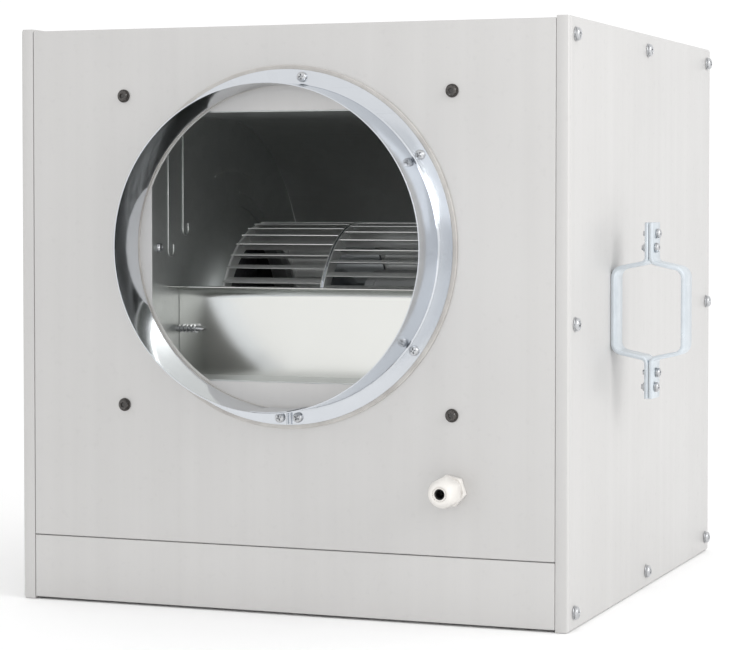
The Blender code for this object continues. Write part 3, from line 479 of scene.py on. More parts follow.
DULL_ZINC = (
    Finish("dull zinc", (0.58, 0.60, 0.59), 0.34, Metallic=0.85)
    .layer("spangle", dark=0.04, rough=0.03, Scale=75.0)
    .layer("clouds", dark=0.08, rough=0.08, Scale=7.0)
    .layer("scratches", dark=0.04, rough=0.06, Across=260.0, Along=12.0)
    .layer("clouds", height_mm=0.12, Scale=9.0)
    .done()
)
BLADE_ZINC = (
    Finish("wheel zinc", (0.80, 0.81, 0.80), 0.34, Metallic=0.8)
    .layer("spangle", dark=0.04, rough=0.04, Scale=120.0)
    .layer("clouds", dark=0.08, rough=0.10, Scale=18.0)
    .done()
)
STRIP_ZINC = (
    Finish("plated strip", (0.70, 0.755, 0.80), 0.22, Metallic=1.0)
    .layer("clouds", dark=0.10, rough=0.14, Scale=60.0)
    .layer("grain", rough=0.1, height_mm=0.006, Scale=700.0)
    .done()
)
SCREW_ZINC = (
    Finish("plated screw", (0.60, 0.61, 0.625), 0.20, Metallic=1.0)
    .layer("clouds", dark=0.25, rough=0.15, Scale=220.0)
    .layer("grain", rough=0.08, height_mm=0.004, Scale=1800.0)
    .done()
)
STEEL = (
    Finish("turned steel", (0.46, 0.47, 0.48), 0.28, Metallic=1.0)
    .layer("streaks", dark=0.15, rough=0.12, Across=900.0, Along=900.0)
    .layer("clouds", dark=0.2, Scale=50.0)
    .done()
)
BLACK_STEEL = (
    Finish("black oxide", (0.016, 0.013, 0.012), 0.20, Specular_IOR_Level=0.8)
    .layer("clouds", tint=(0.05, 0.042, 0.036), rough=0.15, Scale=260.0)
    .layer("grain", height_mm=0.006, Scale=1600.0)
    .done()
)
BLACK_WASHER = (
    Finish("blackened washer", (0.060, 0.054, 0.050), 0.34, Metallic=0.4)
    .layer("clouds", dark=0.3, rough=0.15, Scale=240.0)
    .layer("grain", height_mm=0.006, Scale=1600.0)
    .done()
)
FOAM = (
    Finish("acoustic foam", (0.095, 0.095, 0.10), 0.95)
    .layer("spangle", dark=0.5, height_mm=0.9, Scale=420.0)
    .layer("clouds", tint=(0.10, 0.10, 0.105), Scale=12.0)
    .layer("grain", height_mm=0.3, Scale=700.0)
    .done()
)
GASKET = (
    Finish("grey sealing foam", (0.44, 0.42, 0.40), 0.75)
    .layer("grain", dark=0.15, height_mm=0.12, Scale=700.0)
    .layer("clouds", tint=(0.56, 0.545, 0.52), Scale=40.0)
    .done()
)
BLACK_RUBBER = (
    Finish("black rubber", (0.020, 0.020, 0.021), 0.55)
    .layer("grain", rough=0.2, height_mm=0.02, Scale=1200.0)
    .layer("clouds", tint=(0.035, 0.034, 0.033), Scale=80.0)
    .done()
)
NYLON = (
    Finish("off-white nylon", (0.80, 0.775, 0.74), 0.34, Specular_IOR_Level=0.5)
    .layer("clouds", dark=0.05, rough=0.1, Scale=90.0)
    .layer("grain", height_mm=0.01, Scale=1500.0)
    .done()
)
MOTOR_SHELL = (
    Finish("motor shell", (0.60, 0.61, 0.62), 0.30, Metallic=0.9)
    .layer("grain", rough=0.15, height_mm=0.02, Scale=900.0)
    .layer("clouds", dark=0.2, rough=0.1, Scale=28.0)
    .done()
)
COPPER = (
    Finish("lacquered winding", (0.45, 0.17, 0.07), 0.30, Metallic=0.6)
    .layer("streaks", dark=0.45, height_mm=0.5, Across=10.0, Along=900.0)
    .layer("clouds", dark=0.2, Scale=40.0)
    .done()
)
print("finishes ready")

# %% [markdown]
# ## The working solids get their finish
# Solids whose plain shape is already right keep it. Each takes the finish of its slot, and
# the pieces made below replace the others.

# %% Dress the solids
SLOT_FINISH = {
    "painted_panel": PANEL,
    "acoustic_foam": FOAM,
    "galvanised_sheet": BRIGHT_ZINC,
    "dark_sheet": DULL_ZINC,
    "grey_gasket": GASKET,
    "black_steel": BLACK_STEEL,
    "steel": STEEL,
    "motor_paint": MOTOR_SHELL,
    "winding": COPPER,
    "zinc_plated": STRIP_ZINC,
    "white_plastic": NYLON,
    "black_rubber": BLACK_RUBBER,
}
for part in frame["record"]["subparts"]:
    solid = frame["nodes"][part["node"]]
    solid.data.materials.clear()
    solid.data.materials.append(SLOT_FINISH[part["material_slot"]])

# %% [markdown]
# ## Folded panels
# A panel is one sheet with its edges folded in. It starts as a cube with one side taken off.
# A bevel turns each sharp fold into a small radius, which is what catches the light along the
# corner of a real box, and a solidify gives the sheet its thickness. A side pan also has a
# slanted edge with a shallow groove, where its front fold is hemmed.

# %% Trays and side pans
SHEET = 0.0012
FOLD_RADIUS = 0.0013
LIP_WIDTH = 0.022
EDGE_SLANT = 0.0024
GROOVE_EDGE = 0.0010
GROOVE_DEPTH = 0.0003


def tray(name, open_way, radius=FOLD_RADIUS):
    """A pan with one open side, the size of the solid it stands for."""
    low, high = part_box(name)
    piece = block(name + "_sheet", low, high)
    open_way = Vector(open_way)
    open_piece(piece)
    pick(piece, "faces", lambda face: face.normal.dot(open_way) > 0.9)
    bpy.ops.mesh.delete(type="FACE")
    bpy.ops.object.mode_set(mode="OBJECT")
    soften(piece, radius, 3, 60)
    apply_modifier(piece, "SOLIDIFY", thickness=SHEET, offset=-1)
    return piece


def side_pan(name, side):
    """A side panel: a pan whose edges turn in twice, first the wall and then the lip."""
    low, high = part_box(name)
    piece = block(name + "_sheet", low, high)
    open_piece(piece)
    pick(piece, "faces", lambda face: face.normal.x * side < -0.9)
    bpy.ops.mesh.inset(thickness=LIP_WIDTH)
    bpy.ops.mesh.delete(type="FACE")
    bpy.ops.object.mode_set(mode="OBJECT")
    open_piece(piece, "EDGE")
    outside = high.x if side > 0 else low.x
    pick(piece, "edges", lambda edge: all(abs(vert.co.x - outside) < 1e-4 for vert in edge.verts))
    bpy.ops.mesh.bevel(offset=EDGE_SLANT, segments=1, affect="EDGES")
    bpy.ops.object.mode_set(mode="OBJECT")
    open_piece(piece)
    pick(piece, "faces", lambda face: 0.5 < -face.normal.y < 0.9 and face.normal.x * side > 0.5)
    bpy.ops.mesh.inset(thickness=GROOVE_EDGE)
    bpy.ops.transform.translate(value=(-side * GROOVE_DEPTH, GROOVE_DEPTH, 0))
    bpy.ops.object.mode_set(mode="OBJECT")
    soften(piece, 0.0003, 2, 30)
    apply_modifier(piece, "SOLIDIFY", thickness=SHEET, offset=-1)
    return finish(piece, "casing", PANEL, (name,), 40)


side_pan("left_side_panel", -1)
side_pan("right_side_panel", 1)
for name, open_way in (("top_panel", (0, 0, -1)), ("bottom_panel", (0, 0, 1)),
                       ("front_lower_panel", (0, 1, 0))):
    finish(tray(name, open_way), "casing", PANEL, (name,))
print("side pans and plain trays made")

# %% [markdown]
# ## The front and rear panels
# The front panel's opening is the blower's rectangular mouth with its corners lost behind the
# round spigot. The cutter is a block kept only where a cylinder also is. The block's straight
# edges are divided and nudged a little, because a hand-cut sheet edge is never quite straight.

# %% Cut the openings
collar_low, collar_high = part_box("outlet_collar")
OUTLET = Vector(((collar_low.x + collar_high.x) / 2, 0, (collar_low.z + collar_high.z) / 2))
TUBE_REACH = 0.057
FLANGE_RADIUS = (collar_high.z - collar_low.z) / 2
FLANGE_WIDTH = 0.0147
TUBE_RADIUS = FLANGE_RADIUS - FLANGE_WIDTH
collar_low, collar_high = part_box("inlet_collar")
INLET = Vector((0, 0, (collar_low.z + collar_high.z) / 2))
FRONT_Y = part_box("front_panel")[0].y
BACK_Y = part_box("rear_panel")[1].y
WRAP_LOW, WRAP_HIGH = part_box("scroll_wrap")
DUCT_TOP = WRAP_HIGH.z - 0.001
DUCT_HALF = WRAP_HIGH.x + 0.0003
DUCT_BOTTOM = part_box("cutoff_plate")[0].z - 0.0003
DUCT_MIDDLE = (DUCT_TOP + DUCT_BOTTOM) / 2
PORT_STEP = 0.0025
PORT_RADIUS = TUBE_RADIUS - PORT_STEP
GLAND_HOLE_RADIUS = 0.0103
EDGE_WAVER = 0.0005


def cylinder(name, radius, centre, axis, length, steps=64):
    nothing_selected()
    turn = AXES[axis].to_track_quat("Z", "Y").to_euler()
    bpy.ops.mesh.primitive_cylinder_add(
        vertices=steps, radius=radius, depth=length, location=centre, rotation=turn
    )
    piece = bpy.context.object
    piece.name = name
    bpy.ops.object.transform_apply(location=True, rotation=True, scale=True)
    return piece


def mouth_cutter():
    mouth = block("mouth", (OUTLET.x - DUCT_HALF, FRONT_Y - 0.01, DUCT_BOTTOM),
                  (OUTLET.x + DUCT_HALF, FRONT_Y + 0.01, DUCT_TOP))
    open_piece(mouth, "EDGE")
    pick(mouth, "edges",
         lambda edge: abs((edge.verts[0].co - edge.verts[1].co).normalized().x) > 0.9)
    bpy.ops.mesh.subdivide(number_cuts=40)
    pick(mouth, "verts", lambda vert: abs(vert.co.x - OUTLET.x) < DUCT_HALF - 0.002)
    bpy.ops.transform.vertex_random(offset=EDGE_WAVER, uniform=0.0, normal=0.0, seed=4)
    bpy.ops.object.mode_set(mode="OBJECT")
    centre = (OUTLET.x, FRONT_Y, DUCT_MIDDLE)
    cut(mouth, cylinder("round", PORT_RADIUS, centre, "Y", 0.016, 128), "INTERSECT")
    return mouth


GLAND_LOW, GLAND_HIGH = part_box("gland_nut")
GLAND = Vector(((GLAND_LOW.x + GLAND_HIGH.x) / 2, FRONT_Y, (GLAND_LOW.z + GLAND_HIGH.z) / 2))
front = tray("front_panel", (0, 1, 0))
cut(front, mouth_cutter())
cut(front, cylinder("gland hole", GLAND_HOLE_RADIUS, GLAND, "Y", 0.01, 48))
finish(front, "casing", PANEL, ("front_panel",))

rear = tray("rear_panel", (0, -1, 0))
cut(rear, cylinder("port", PORT_RADIUS, (0, BACK_Y, INLET.z), "Y", 0.01, 128))
finish(rear, "casing", PANEL, ("rear_panel",))
print("front and rear panels cut")

# %% [markdown]
# ## Spigots
# A spigot is a short tube with a flange, rolled from one strip of sheet. The corner between
# the two is a tight bend. At the bottom the ends of the strip lap inside the tube, and on the
# flange each end is folded up beside a fine slit. Turning the profile gives the body, blocks
# cut the slits, and a foam ring seals the flange to the panel.

# %% Collars, folded ends, laps and sealing rings
WALL = 0.001
FLANGE_SEAT = 0.0033
INNER_BEND = 0.0028
OUTER_BEND = 0.0018
JOINT_X = 0.0054
SLIT_OFFSET = 0.0030
FOLD_OFFSET = 0.0016


def spigot(name, centre, face, outward):
    bore = TUBE_RADIUS - WALL
    seat = FLANGE_SEAT
    inner = rounded([(FLANGE_RADIUS, seat), (bore, seat), (bore, TUBE_REACH)], INNER_BEND, 5)
    top = seat + WALL
    outer = rounded([(TUBE_RADIUS, TUBE_REACH), (TUBE_RADIUS, top), (FLANGE_RADIUS, top)],
                    OUTER_BEND, 5)
    loop = [(point[0], face + outward * point[1]) for point in [*inner, *outer]]
    collar = turned(name + "_spigot", loop, "Y", centre, 144)
    for ear in (-1, 1):
        slit_x = centre.x + JOINT_X + ear * SLIT_OFFSET
        slit = block("slit", (slit_x - 0.0004, face + outward * 0.0038, centre.z - 0.182),
                     (slit_x + 0.0004, face + outward * 0.006, centre.z - 0.1605))
        cut(collar, slit)
    soften(collar, 0.00018, 1, 60)
    finish(collar, "casing", BRIGHT_ZINC, (name + "_collar",))

    for ear in (-1, 1):
        ear_x = centre.x + JOINT_X + ear * FOLD_OFFSET
        fold = block(name + f"_folded_end_{ear + 2}",
                     (ear_x - 0.0007, face + outward * 0.0044, centre.z - FLANGE_RADIUS + 0.0008),
                     (ear_x + 0.0007, face + outward * 0.0066, centre.z - TUBE_RADIUS - 0.0010))
        soften(fold, 0.0003, 2, 60)
        finish(fold, "casing", BRIGHT_ZINC)

    lap_radius = TUBE_RADIUS - WALL - 0.0006
    turns = arc((0, 0), lap_radius, math.radians(265), math.radians(279), 10)
    points = [(centre.x + x, face + outward * 0.0050, centre.z + z) for x, z in turns]
    lap_width = (0, outward * (TUBE_REACH - 0.0053), 0)
    lap = bent_strip(name + "_spigot_lap", points, lap_width, 0.0008)
    soften(lap, 0.00015, 1, 60)
    finish(lap, "casing", BRIGHT_ZINC)

    seal_low = TUBE_RADIUS - 0.0006
    seal_high = FLANGE_RADIUS + 0.0040
    ring = [(seal_low, 0.0003), (seal_high - 0.0008, 0.0003), (seal_high, 0.0010),
            (seal_high, 0.0023), (seal_high - 0.0008, 0.0030), (seal_low, 0.0030)]
    loop = [(radius, face + outward * along) for radius, along in ring]
    seal = turned(name + "_sealing_ring", loop, "Y", centre, 144)
    open_piece(seal, "VERT")
    pick(seal, "verts", lambda vert: (vert.co.xz - centre.xz).length > FLANGE_RADIUS)
    bpy.ops.transform.vertex_random(offset=0.0002, uniform=0.0, normal=0.0, seed=9)
    bpy.ops.object.mode_set(mode="OBJECT")
    finish(seal, "casing", GASKET, (name + "_gasket",))


spigot("outlet", OUTLET, FRONT_Y, -1)
spigot("inlet", INLET, BACK_Y, 1)
print("two spigots of radius", TUBE_RADIUS)

# %% [markdown]
# ## Screws
# Pan-head screws come in two sizes, and each is made well once, then copied. The head is turned
# with a domed top and a thin washer under it, and the cross recess is two crossed wedges cut
# out of it. Each copy is turned by a different angle, because nobody lines up screw slots.

# %% Pan-head screws and the side panels' copies
HEAD_RADIUS = 0.0054
EVEN_SPREAD_TURN = 2.39996


def pan_head_master(name, washer_radius, scale=1.0):
    """A pan head along +Z with a cross recess, on a washer."""
    outline = [
        (0.0, -0.0015),
        (0.0018, -0.0015),
        (0.0018, 0.0),
        (washer_radius - 0.0006, 0.0),
        (washer_radius - 0.0006, 0.0003),
        (washer_radius, 0.0004),
        (washer_radius, 0.0009),
        (washer_radius - 0.0003, 0.0011),
        (HEAD_RADIUS - 0.0006, 0.0011),
        (HEAD_RADIUS - 0.0006, 0.0014),
        (HEAD_RADIUS, 0.0015),
        (HEAD_RADIUS, 0.0027),
        (HEAD_RADIUS * 0.93, 0.0035),
        (HEAD_RADIUS * 0.76, 0.0042),
        (HEAD_RADIUS * 0.48, 0.0046),
        (0.0, 0.0048),
    ]
    profile = [(radius * scale, along * scale) for radius, along in outline]
    master = turned(name, profile, "Z", (0, 0, 0), 32, ring=False)
    for quarter in range(2):
        half = Vector((0.0040, 0.00085, 0.0)) * scale
        wedge = block("wedge", -half + Vector((0, 0, 0.0018 * scale)),
                      half + Vector((0, 0, 0.0060 * scale)))
        open_piece(wedge)
        pick(wedge, "faces", lambda face: face.normal.z < -0.9)
        bpy.ops.transform.resize(value=(0.45, 0.7, 1.0))
        bpy.ops.object.mode_set(mode="OBJECT")
        wedge.rotation_euler.z = quarter * math.pi / 2
        cut(master, wedge)
    soften(master, 0.00012 * scale, 1, 50)
    return master


def twist_of(number):
    """A different turn for each screw, the same on every run."""
    return (number * EVEN_SPREAD_TURN) % (2 * math.pi)


washer_screw = pan_head_master("washer_screw", 0.0060, 1.16)
plain_screw = pan_head_master("plain_screw", 0.0056, 0.88)
SIDE_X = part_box("right_side_panel")[1].x
BOX_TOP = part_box("right_side_panel")[1].z
EDGE = 0.017
screw_count = 0
for side in (-1, 1):
    for along in (FRONT_Y + EDGE, 0.0, BACK_Y - EDGE):
        for height in (EDGE, BOX_TOP / 2, BOX_TOP - EDGE):
            if along == 0.0 and height == BOX_TOP / 2:
                continue
            screw_count += 1
            screw = copy_to(washer_screw, f"side_screw_{screw_count}", (side * SIDE_X, along, height),
                            (side, 0, 0), twist_of(screw_count))
            finish(screw, "casing", SCREW_ZINC)
print(screw_count, "side screws")

# %% [markdown]
# The flange screws sit on one circle, unevenly spaced. Two of them stand close together at the
# bottom, one on each side of the joint, to hold the strip's two ends.

# %% Flange screws
FLANGE_SCREW_RADIUS = TUBE_RADIUS + 0.0078
FLANGE_TURNS = (6.6, 57.6, 126.0, 175.0, 181.5, 236.0, 304.0)
FLANGE_FACE = 0.0043
for name, centre, face, outward in (("outlet", OUTLET, FRONT_Y, -1), ("inlet", INLET, BACK_Y, 1)):
    for number, degrees in enumerate(FLANGE_TURNS, 1):
        turn = math.radians(degrees)
        place = Vector((
            centre.x + FLANGE_SCREW_RADIUS * math.sin(turn),
            face + outward * FLANGE_FACE,
            centre.z + FLANGE_SCREW_RADIUS * math.cos(turn),
        ))
        screw = copy_to(plain_screw, f"{name}_flange_screw_{number}", place, (0, outward, 0),
                        twist_of(number + 3))
        finish(screw, "casing", SCREW_ZINC)
print(2 * len(FLANGE_TURNS), "flange screws")

# %% [markdown]
# ## The four black screws
# These carry the blower's weight. They are button heads with a hex socket, in black oxide, so
# only the rounded shoulder and the socket's rim catch light. The washer under each is a piece
# of its own in a greyer black, which sets the head off from the panel.

# %% Button-head screws and washers
SHANK_RADIUS = 0.0028
SOCKET_RADIUS = 0.0027


def button_head_masters():
    """A domed head with a hex socket, and the thin washer under it."""
    washer_low, washer_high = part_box("outlet_screw_1")
    washer_radius = (washer_high.x - washer_low.x) / 2 + 0.0003
    head = 0.0051
    lift = 0.0010
    height = 0.0033
    rim = 0.0006
    turns = [math.pi / 2 * step / 7 for step in range(8)]
    dome = [
        (
            SHANK_RADIUS + (head - SHANK_RADIUS) * math.cos(turn),
            lift + rim + (height - rim) * math.sin(turn),
        )
        for turn in turns
    ]
    profile = [
        (0.0, -0.0140),
        (SHANK_RADIUS, -0.0140),
        (SHANK_RADIUS, lift),
        (head, lift),
        *dome,
        (0.0, lift + height),
    ]
    master = turned("button_head", profile, "Z", (0, 0, 0), 48, ring=False)
    cut(master, cylinder("socket", SOCKET_RADIUS, (0, 0, lift + height), "Z", 0.0048, 6))
    soften(master, 0.00018, 2, 50)
    ring = [(SHANK_RADIUS, 0.0), (washer_radius, 0.0), (washer_radius, lift), (SHANK_RADIUS, lift)]
    under = turned("washer", ring, "Z", (0, 0, 0), 48)
    soften(under, 0.0002, 2, 50)
    return master, under


button_screw, black_washer = button_head_masters()
for number in range(1, 5):
    low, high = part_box(f"outlet_screw_{number}")
    middle = (low + high) / 2
    place = (middle.x, FRONT_Y - 0.0003, middle.z)
    screw = copy_to(button_screw, f"hanging_screw_{number}", place, (0, -1, 0), twist_of(number))
    finish(screw, "casing", BLACK_STEEL, (f"outlet_screw_{number}",))
    under = copy_to(black_washer, f"hanging_screw_washer_{number}", place, (0, -1, 0), 0.0)
    finish(under, "casing", BLACK_WASHER)
throw_away(washer_screw, button_screw, black_washer)
print("four hanging screws")

# %% [markdown]
# ## The cable gland
# A gland is a hex body screwed into the panel and a domed cap nut that squeezes a rubber
# sleeve round the cable. The body is a hex bar, chamfered by intersecting it with a turned
# shape and twisted a little, as it stopped when it was tightened.

# %% Gland body and thread
HEX_FLATS = 0.027
CORNERS = HEX_FLATS / math.sqrt(3)
BODY_END = 0.0073
CAP_START = 0.0133
CAP_HEX_END = 0.0230
CAP_END = 0.0373
MOUTH = 0.0053
BODY_TWIST = math.radians(18)


def hex_bar(name, start, end, twist=0.0):
    """A hexagonal bar along Y at the gland's place, with a corner at the top before the twist."""
    centre = (GLAND.x, FRONT_Y - (start + end) / 2, GLAND.z)
    bar = cylinder(name, CORNERS, centre, "Y", end - start, 6)
    open_piece(bar)
    bpy.ops.mesh.select_all(action="SELECT")
    bpy.ops.transform.rotate(value=twist, orient_axis="Y", center_override=centre)
    bpy.ops.object.mode_set(mode="OBJECT")
    return bar


def outward_profile(points):
    return [(radius, FRONT_Y - along) for radius, along in points]


gland_centre = Vector((GLAND.x, 0, GLAND.z))
body = hex_bar("gland_hex_body", 0.0003, BODY_END, BODY_TWIST)
chamfer = turned("chamfer", outward_profile([(0.0, 0.0), (0.0158, 0.0), (0.0158, 0.0060),
                 (0.0138, 0.0074), (0.0, 0.0074)]), "Y", gland_centre, 48, ring=False)
cut(body, chamfer, "INTERSECT")
cut(body, cylinder("bore", 0.0096, (GLAND.x, FRONT_Y, GLAND.z), "Y", 0.05, 40))
soften(body, 0.0003, 2, 40)
finish(body, "casing", NYLON)
thread = turned("gland_thread", outward_profile([(0.0072, -0.0100), (0.0093, -0.0100),
                (0.0093, 0.0180), (0.0072, 0.0180)]), "Y", gland_centre, 48)
finish(thread, "casing", NYLON, ("gland_body",))
print("gland at", tuple(round(value, 4) for value in GLAND))

# %% [markdown]
# The cap nut is the shape shared by a turned dome and a hex bar, so an intersection gives its
# rounded corners for free. Inside its mouth a ring of short claws grips the rubber sleeve. The
# sleeve's hole is left open, because no cable is fitted.

# %% Cap nut, sleeve and claws
CLAWS = 20
swell = CORNERS - 0.0003
crown = 0.0080
dome = []
for step in range(13):
    turn = math.pi / 2 * step / 12
    along = CAP_HEX_END - 0.006 + (CAP_END - CAP_HEX_END + 0.006) * math.sin(turn)
    dome.append((crown + (swell - crown) * math.cos(turn), along))
cap_profile = outward_profile([
    (0.0098, CAP_START),
    (swell - 0.0012, CAP_START),
    (swell, CAP_START + 0.0009),
    *dome,
    (0.0074, CAP_END),
    (0.0071, CAP_END - 0.0004),
    (0.0071, CAP_END - 0.0014),
    (0.0064, CAP_END - 0.0014),
    (0.0064, CAP_END - 0.0002),
    (MOUTH, CAP_END - 0.0004),
    (MOUTH, 0.0210),
    (0.0098, 0.0190),
])
cap = turned("gland_cap_nut", cap_profile, "Y", gland_centre, 72)
cap_hex = hex_bar("cap hex", 0.0100, 0.0400)
cut(cap, cap_hex, "INTERSECT")
soften(cap, 0.00025, 2, 50)
finish(cap, "casing", NYLON, ("gland_nut",))
sleeve = turned("gland_sleeve", outward_profile([(0.0042, CAP_END - 0.0022), (0.0051, CAP_END - 0.0018),
                (0.0051, 0.0215), (0.0042, 0.0215)]), "Y", gland_centre, 40)
finish(sleeve, "casing", BLACK_RUBBER, ("gland_seal",))
claw = block("gland_claws", (GLAND.x + 0.0063, FRONT_Y - CAP_END + 0.0016, GLAND.z - 0.0005),
             (GLAND.x + 0.0072, FRONT_Y - CAP_END + 0.0004, GLAND.z + 0.0005))
open_piece(claw)
bpy.ops.mesh.select_all(action="SELECT")
bpy.ops.mesh.spin(steps=CLAWS, angle=2 * math.pi, center=GLAND, axis=(0, 1, 0), dupli=True)
clean(claw)
finish(claw, "casing", NYLON)
print("cap nut with", CLAWS, "claws")

# %% [markdown]
# ## Handles
# Each handle is two hat-shaped strips bolted back to back, so that they form a loop to put a
# hand through. A strip is one edge extruded round its bends. The bend radius is drawn as an
# arc, and the cut edges are eased.

# %% Two handles of two strips
STRIP = 0.004
HANDLE_LOW, HANDLE_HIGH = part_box("right_handle_outer")
HANDLE_WIDTH = HANDLE_HIGH.y - HANDLE_LOW.y
HANDLE_Z = (HANDLE_LOW.z + HANDLE_HIGH.z) / 2
HALF_HEIGHT = (HANDLE_HIGH.z - HANDLE_LOW.z) / 2
BAR_HALF = 0.039
SHOULDER_HALF = 0.046
BEND_RADIUS = 0.008
TAB_X = HANDLE_LOW.x
INNER_LOW, INNER_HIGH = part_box("right_handle_inner")


def handle_strip(name, side, root, bar, node_name):
    corners = [(root, -HALF_HEIGHT), (root, -SHOULDER_HALF), (bar, -BAR_HALF), (bar, BAR_HALF),
               (root, SHOULDER_HALF), (root, HALF_HEIGHT)]
    line = rounded(corners, BEND_RADIUS, 7)
    points = [(side * x, HANDLE_LOW.y, HANDLE_Z + z) for x, z in line]
    outwards = 1 if (bar > root) == (side > 0) else -1
    strip = bent_strip(name, points, (0, HANDLE_WIDTH, 0), STRIP, outwards)
    soften(strip, 0.0005, 2, 50)
    return finish(strip, "casing", STRIP_ZINC, (node_name,))


for label, side in (("left", -1), ("right", 1)):
    handle_strip(f"{label}_outer_strip", side, HANDLE_LOW.x, HANDLE_HIGH.x - STRIP,
                 f"{label}_handle_outer")
    handle_strip(f"{label}_inner_strip", side, INNER_HIGH.x, INNER_LOW.x + STRIP,
                 f"{label}_handle_inner")
print("handles", round(HALF_HEIGHT * 2, 4), "tall")

# %% [markdown]
# The tabs are held by small round-head bolts with hexagon nuts behind, two above the loop and
# two below. The inner bar is held to the panel by two screws sunk flush with it.

# %% Handle bolts and nuts
BOLT_Y = (HANDLE_LOW.y + HANDLE_HIGH.y) / 2
FIRST_BOLT = 0.062
BOLT_SPACING = 0.014
BOLT_SWAY = 0.006
FLUSH_SCREW_HALF = 0.014


def nut_master():
    nut = cylinder("nut", 0.0046, (0, 0, 0.0018), "Z", 0.0036, 6)
    chamfer = turned("chamfer", [(0.0, -0.001), (0.0046, -0.001), (0.0046, 0.0030),
                     (0.0040, 0.0037), (0.0, 0.0037)], "Z", (0, 0, 0), 32, ring=False)
    cut(nut, chamfer, "INTERSECT")
    end = cylinder("end", 0.0025, (0, 0, 0.0025), "Z", 0.0060, 20)
    cut(nut, end, "UNION")
    soften(nut, 0.0002, 1, 50)
    return nut


nut = nut_master()
flush_screw = turned("flush", [(0.0, -0.0040), (0.0024, -0.0040), (0.0024, 0.0), (0.0038, 0.0017),
                     (0.0038, 0.0019), (0.0, 0.0019)], "Z", (0, 0, 0), 28, ring=False)
count = 0
for label, side in (("left", -1), ("right", 1)):
    for up in (-1, 1):
        for number in range(2):
            count += 1
            height = HANDLE_Z + up * (FIRST_BOLT + number * BOLT_SPACING)
            sway = (number - 0.5) * up * BOLT_SWAY
            place = (side * (TAB_X + STRIP), BOLT_Y + sway, height)
            bolt = copy_to(plain_screw, f"{label}_handle_bolt_{count}", place, (side, 0, 0),
                           twist_of(count))
            finish(bolt, "casing", SCREW_ZINC)
            place = (side * (INNER_HIGH.x - STRIP), BOLT_Y + sway, height)
            piece = copy_to(nut, f"{label}_handle_nut_{count}", place, (-side, 0, 0),
                            twist_of(count + 5))
            finish(piece, "casing", SCREW_ZINC)
    for up in (-1, 1):
        place = (side * (INNER_LOW.x + STRIP - 0.0018), BOLT_Y, HANDLE_Z + up * FLUSH_SCREW_HALF)
        bolt = copy_to(flush_screw, f"{label}_flush_screw_{up + 2}", place, (side, 0, 0),
                       twist_of(up + 9))
        finish(bolt, "casing", STRIP_ZINC)
print(count, "bolts with nuts")

# %% [markdown]
# ## The blower's scroll
# The wrap is a single strip that follows a spiral: its distance from the shaft grows steadily
# from the cut-off, under and behind the wheel, to the roof. Drawing it again with many short
# steps makes its curve smooth.

# %% The wrap
disc_low, disc_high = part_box("impeller_disc")
WHEEL = Vector((0, (disc_low.y + disc_high.y) / 2, (disc_low.z + disc_high.z) / 2))
WHEEL_RADIUS = (disc_high.z - disc_low.z) / 2
WRAP_HALF = WRAP_HIGH.x
WRAP_WALL = 0.001
CUTOFF_LOW, CUTOFF_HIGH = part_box("cutoff_plate")
CUTOFF_Y = CUTOFF_HIGH.y


def spiral(steps):
    start_at = Vector((CUTOFF_Y, DUCT_BOTTOM)) - WHEEL.yz
    start = math.atan2(start_at.y, start_at.x) + 2 * math.pi
    end = 2.5 * math.pi
    last = DUCT_TOP - WHEEL.z
    for step in range(steps + 1):
        share = step / steps
        turn = start + (end - start) * share
        radius = start_at.length + (last - start_at.length) * share
        yield (WHEEL.y + radius * math.cos(turn), WHEEL.z + radius * math.sin(turn))


mouth_y = WRAP_LOW.y
line = [(mouth_y, DUCT_BOTTOM), *spiral(80), (mouth_y, DUCT_TOP)]
wrap = bent_strip("scroll_skin", [(-WRAP_HALF, y, z) for y, z in line], (2 * WRAP_HALF, 0, 0),
                  WRAP_WALL, 1)
finish(wrap, "casing", DULL_ZINC, ("scroll_wrap",), 40)
print("scroll round the wheel, radius", round(WHEEL_RADIUS, 4))

# %% [markdown]
# The cut-off plate stands across the bottom of the outlet and stops air from going round again.
# Its top is bent forward over a small radius and ends in a short flat, which stiffens the edge.
# It is one edge drawn up, round the bend and forward.

# %% The cut-off plate
LIP_RADIUS = 0.0125
LIP_TURN = math.radians(92)
PLATE_MIDDLE = CUTOFF_Y - 0.0005
lip_centre = (PLATE_MIDDLE - LIP_RADIUS, CUTOFF_HIGH.z - 0.0130)
lip = arc(lip_centre, LIP_RADIUS, 0.0, LIP_TURN, 14)
line = [(PLATE_MIDDLE, CUTOFF_LOW.z), *lip, (CUTOFF_LOW.y, lip[-1][1] - 0.0004)]
cutoff = bent_strip("cutoff_sheet", [(-WRAP_HALF, y, z) for y, z in line], (2 * WRAP_HALF, 0, 0),
                    0.001)
soften(cutoff, 0.0002, 1, 60)
finish(cutoff, "casing", PLATE_ZINC, ("cutoff_plate",), 40)
print("cut-off plate", round(CUTOFF_HIGH.z - CUTOFF_LOW.z, 4), "tall")

# %% [markdown]
# An inlet ring is a flat flange drawn into a bell mouth, which leads the air smoothly into the
# wheel. Its section is a quarter of an ellipse, turned about the shaft.

# %% The two bell mouths
BELL_FLANGE = 0.0115
THROAT_RADIUS = 0.0995

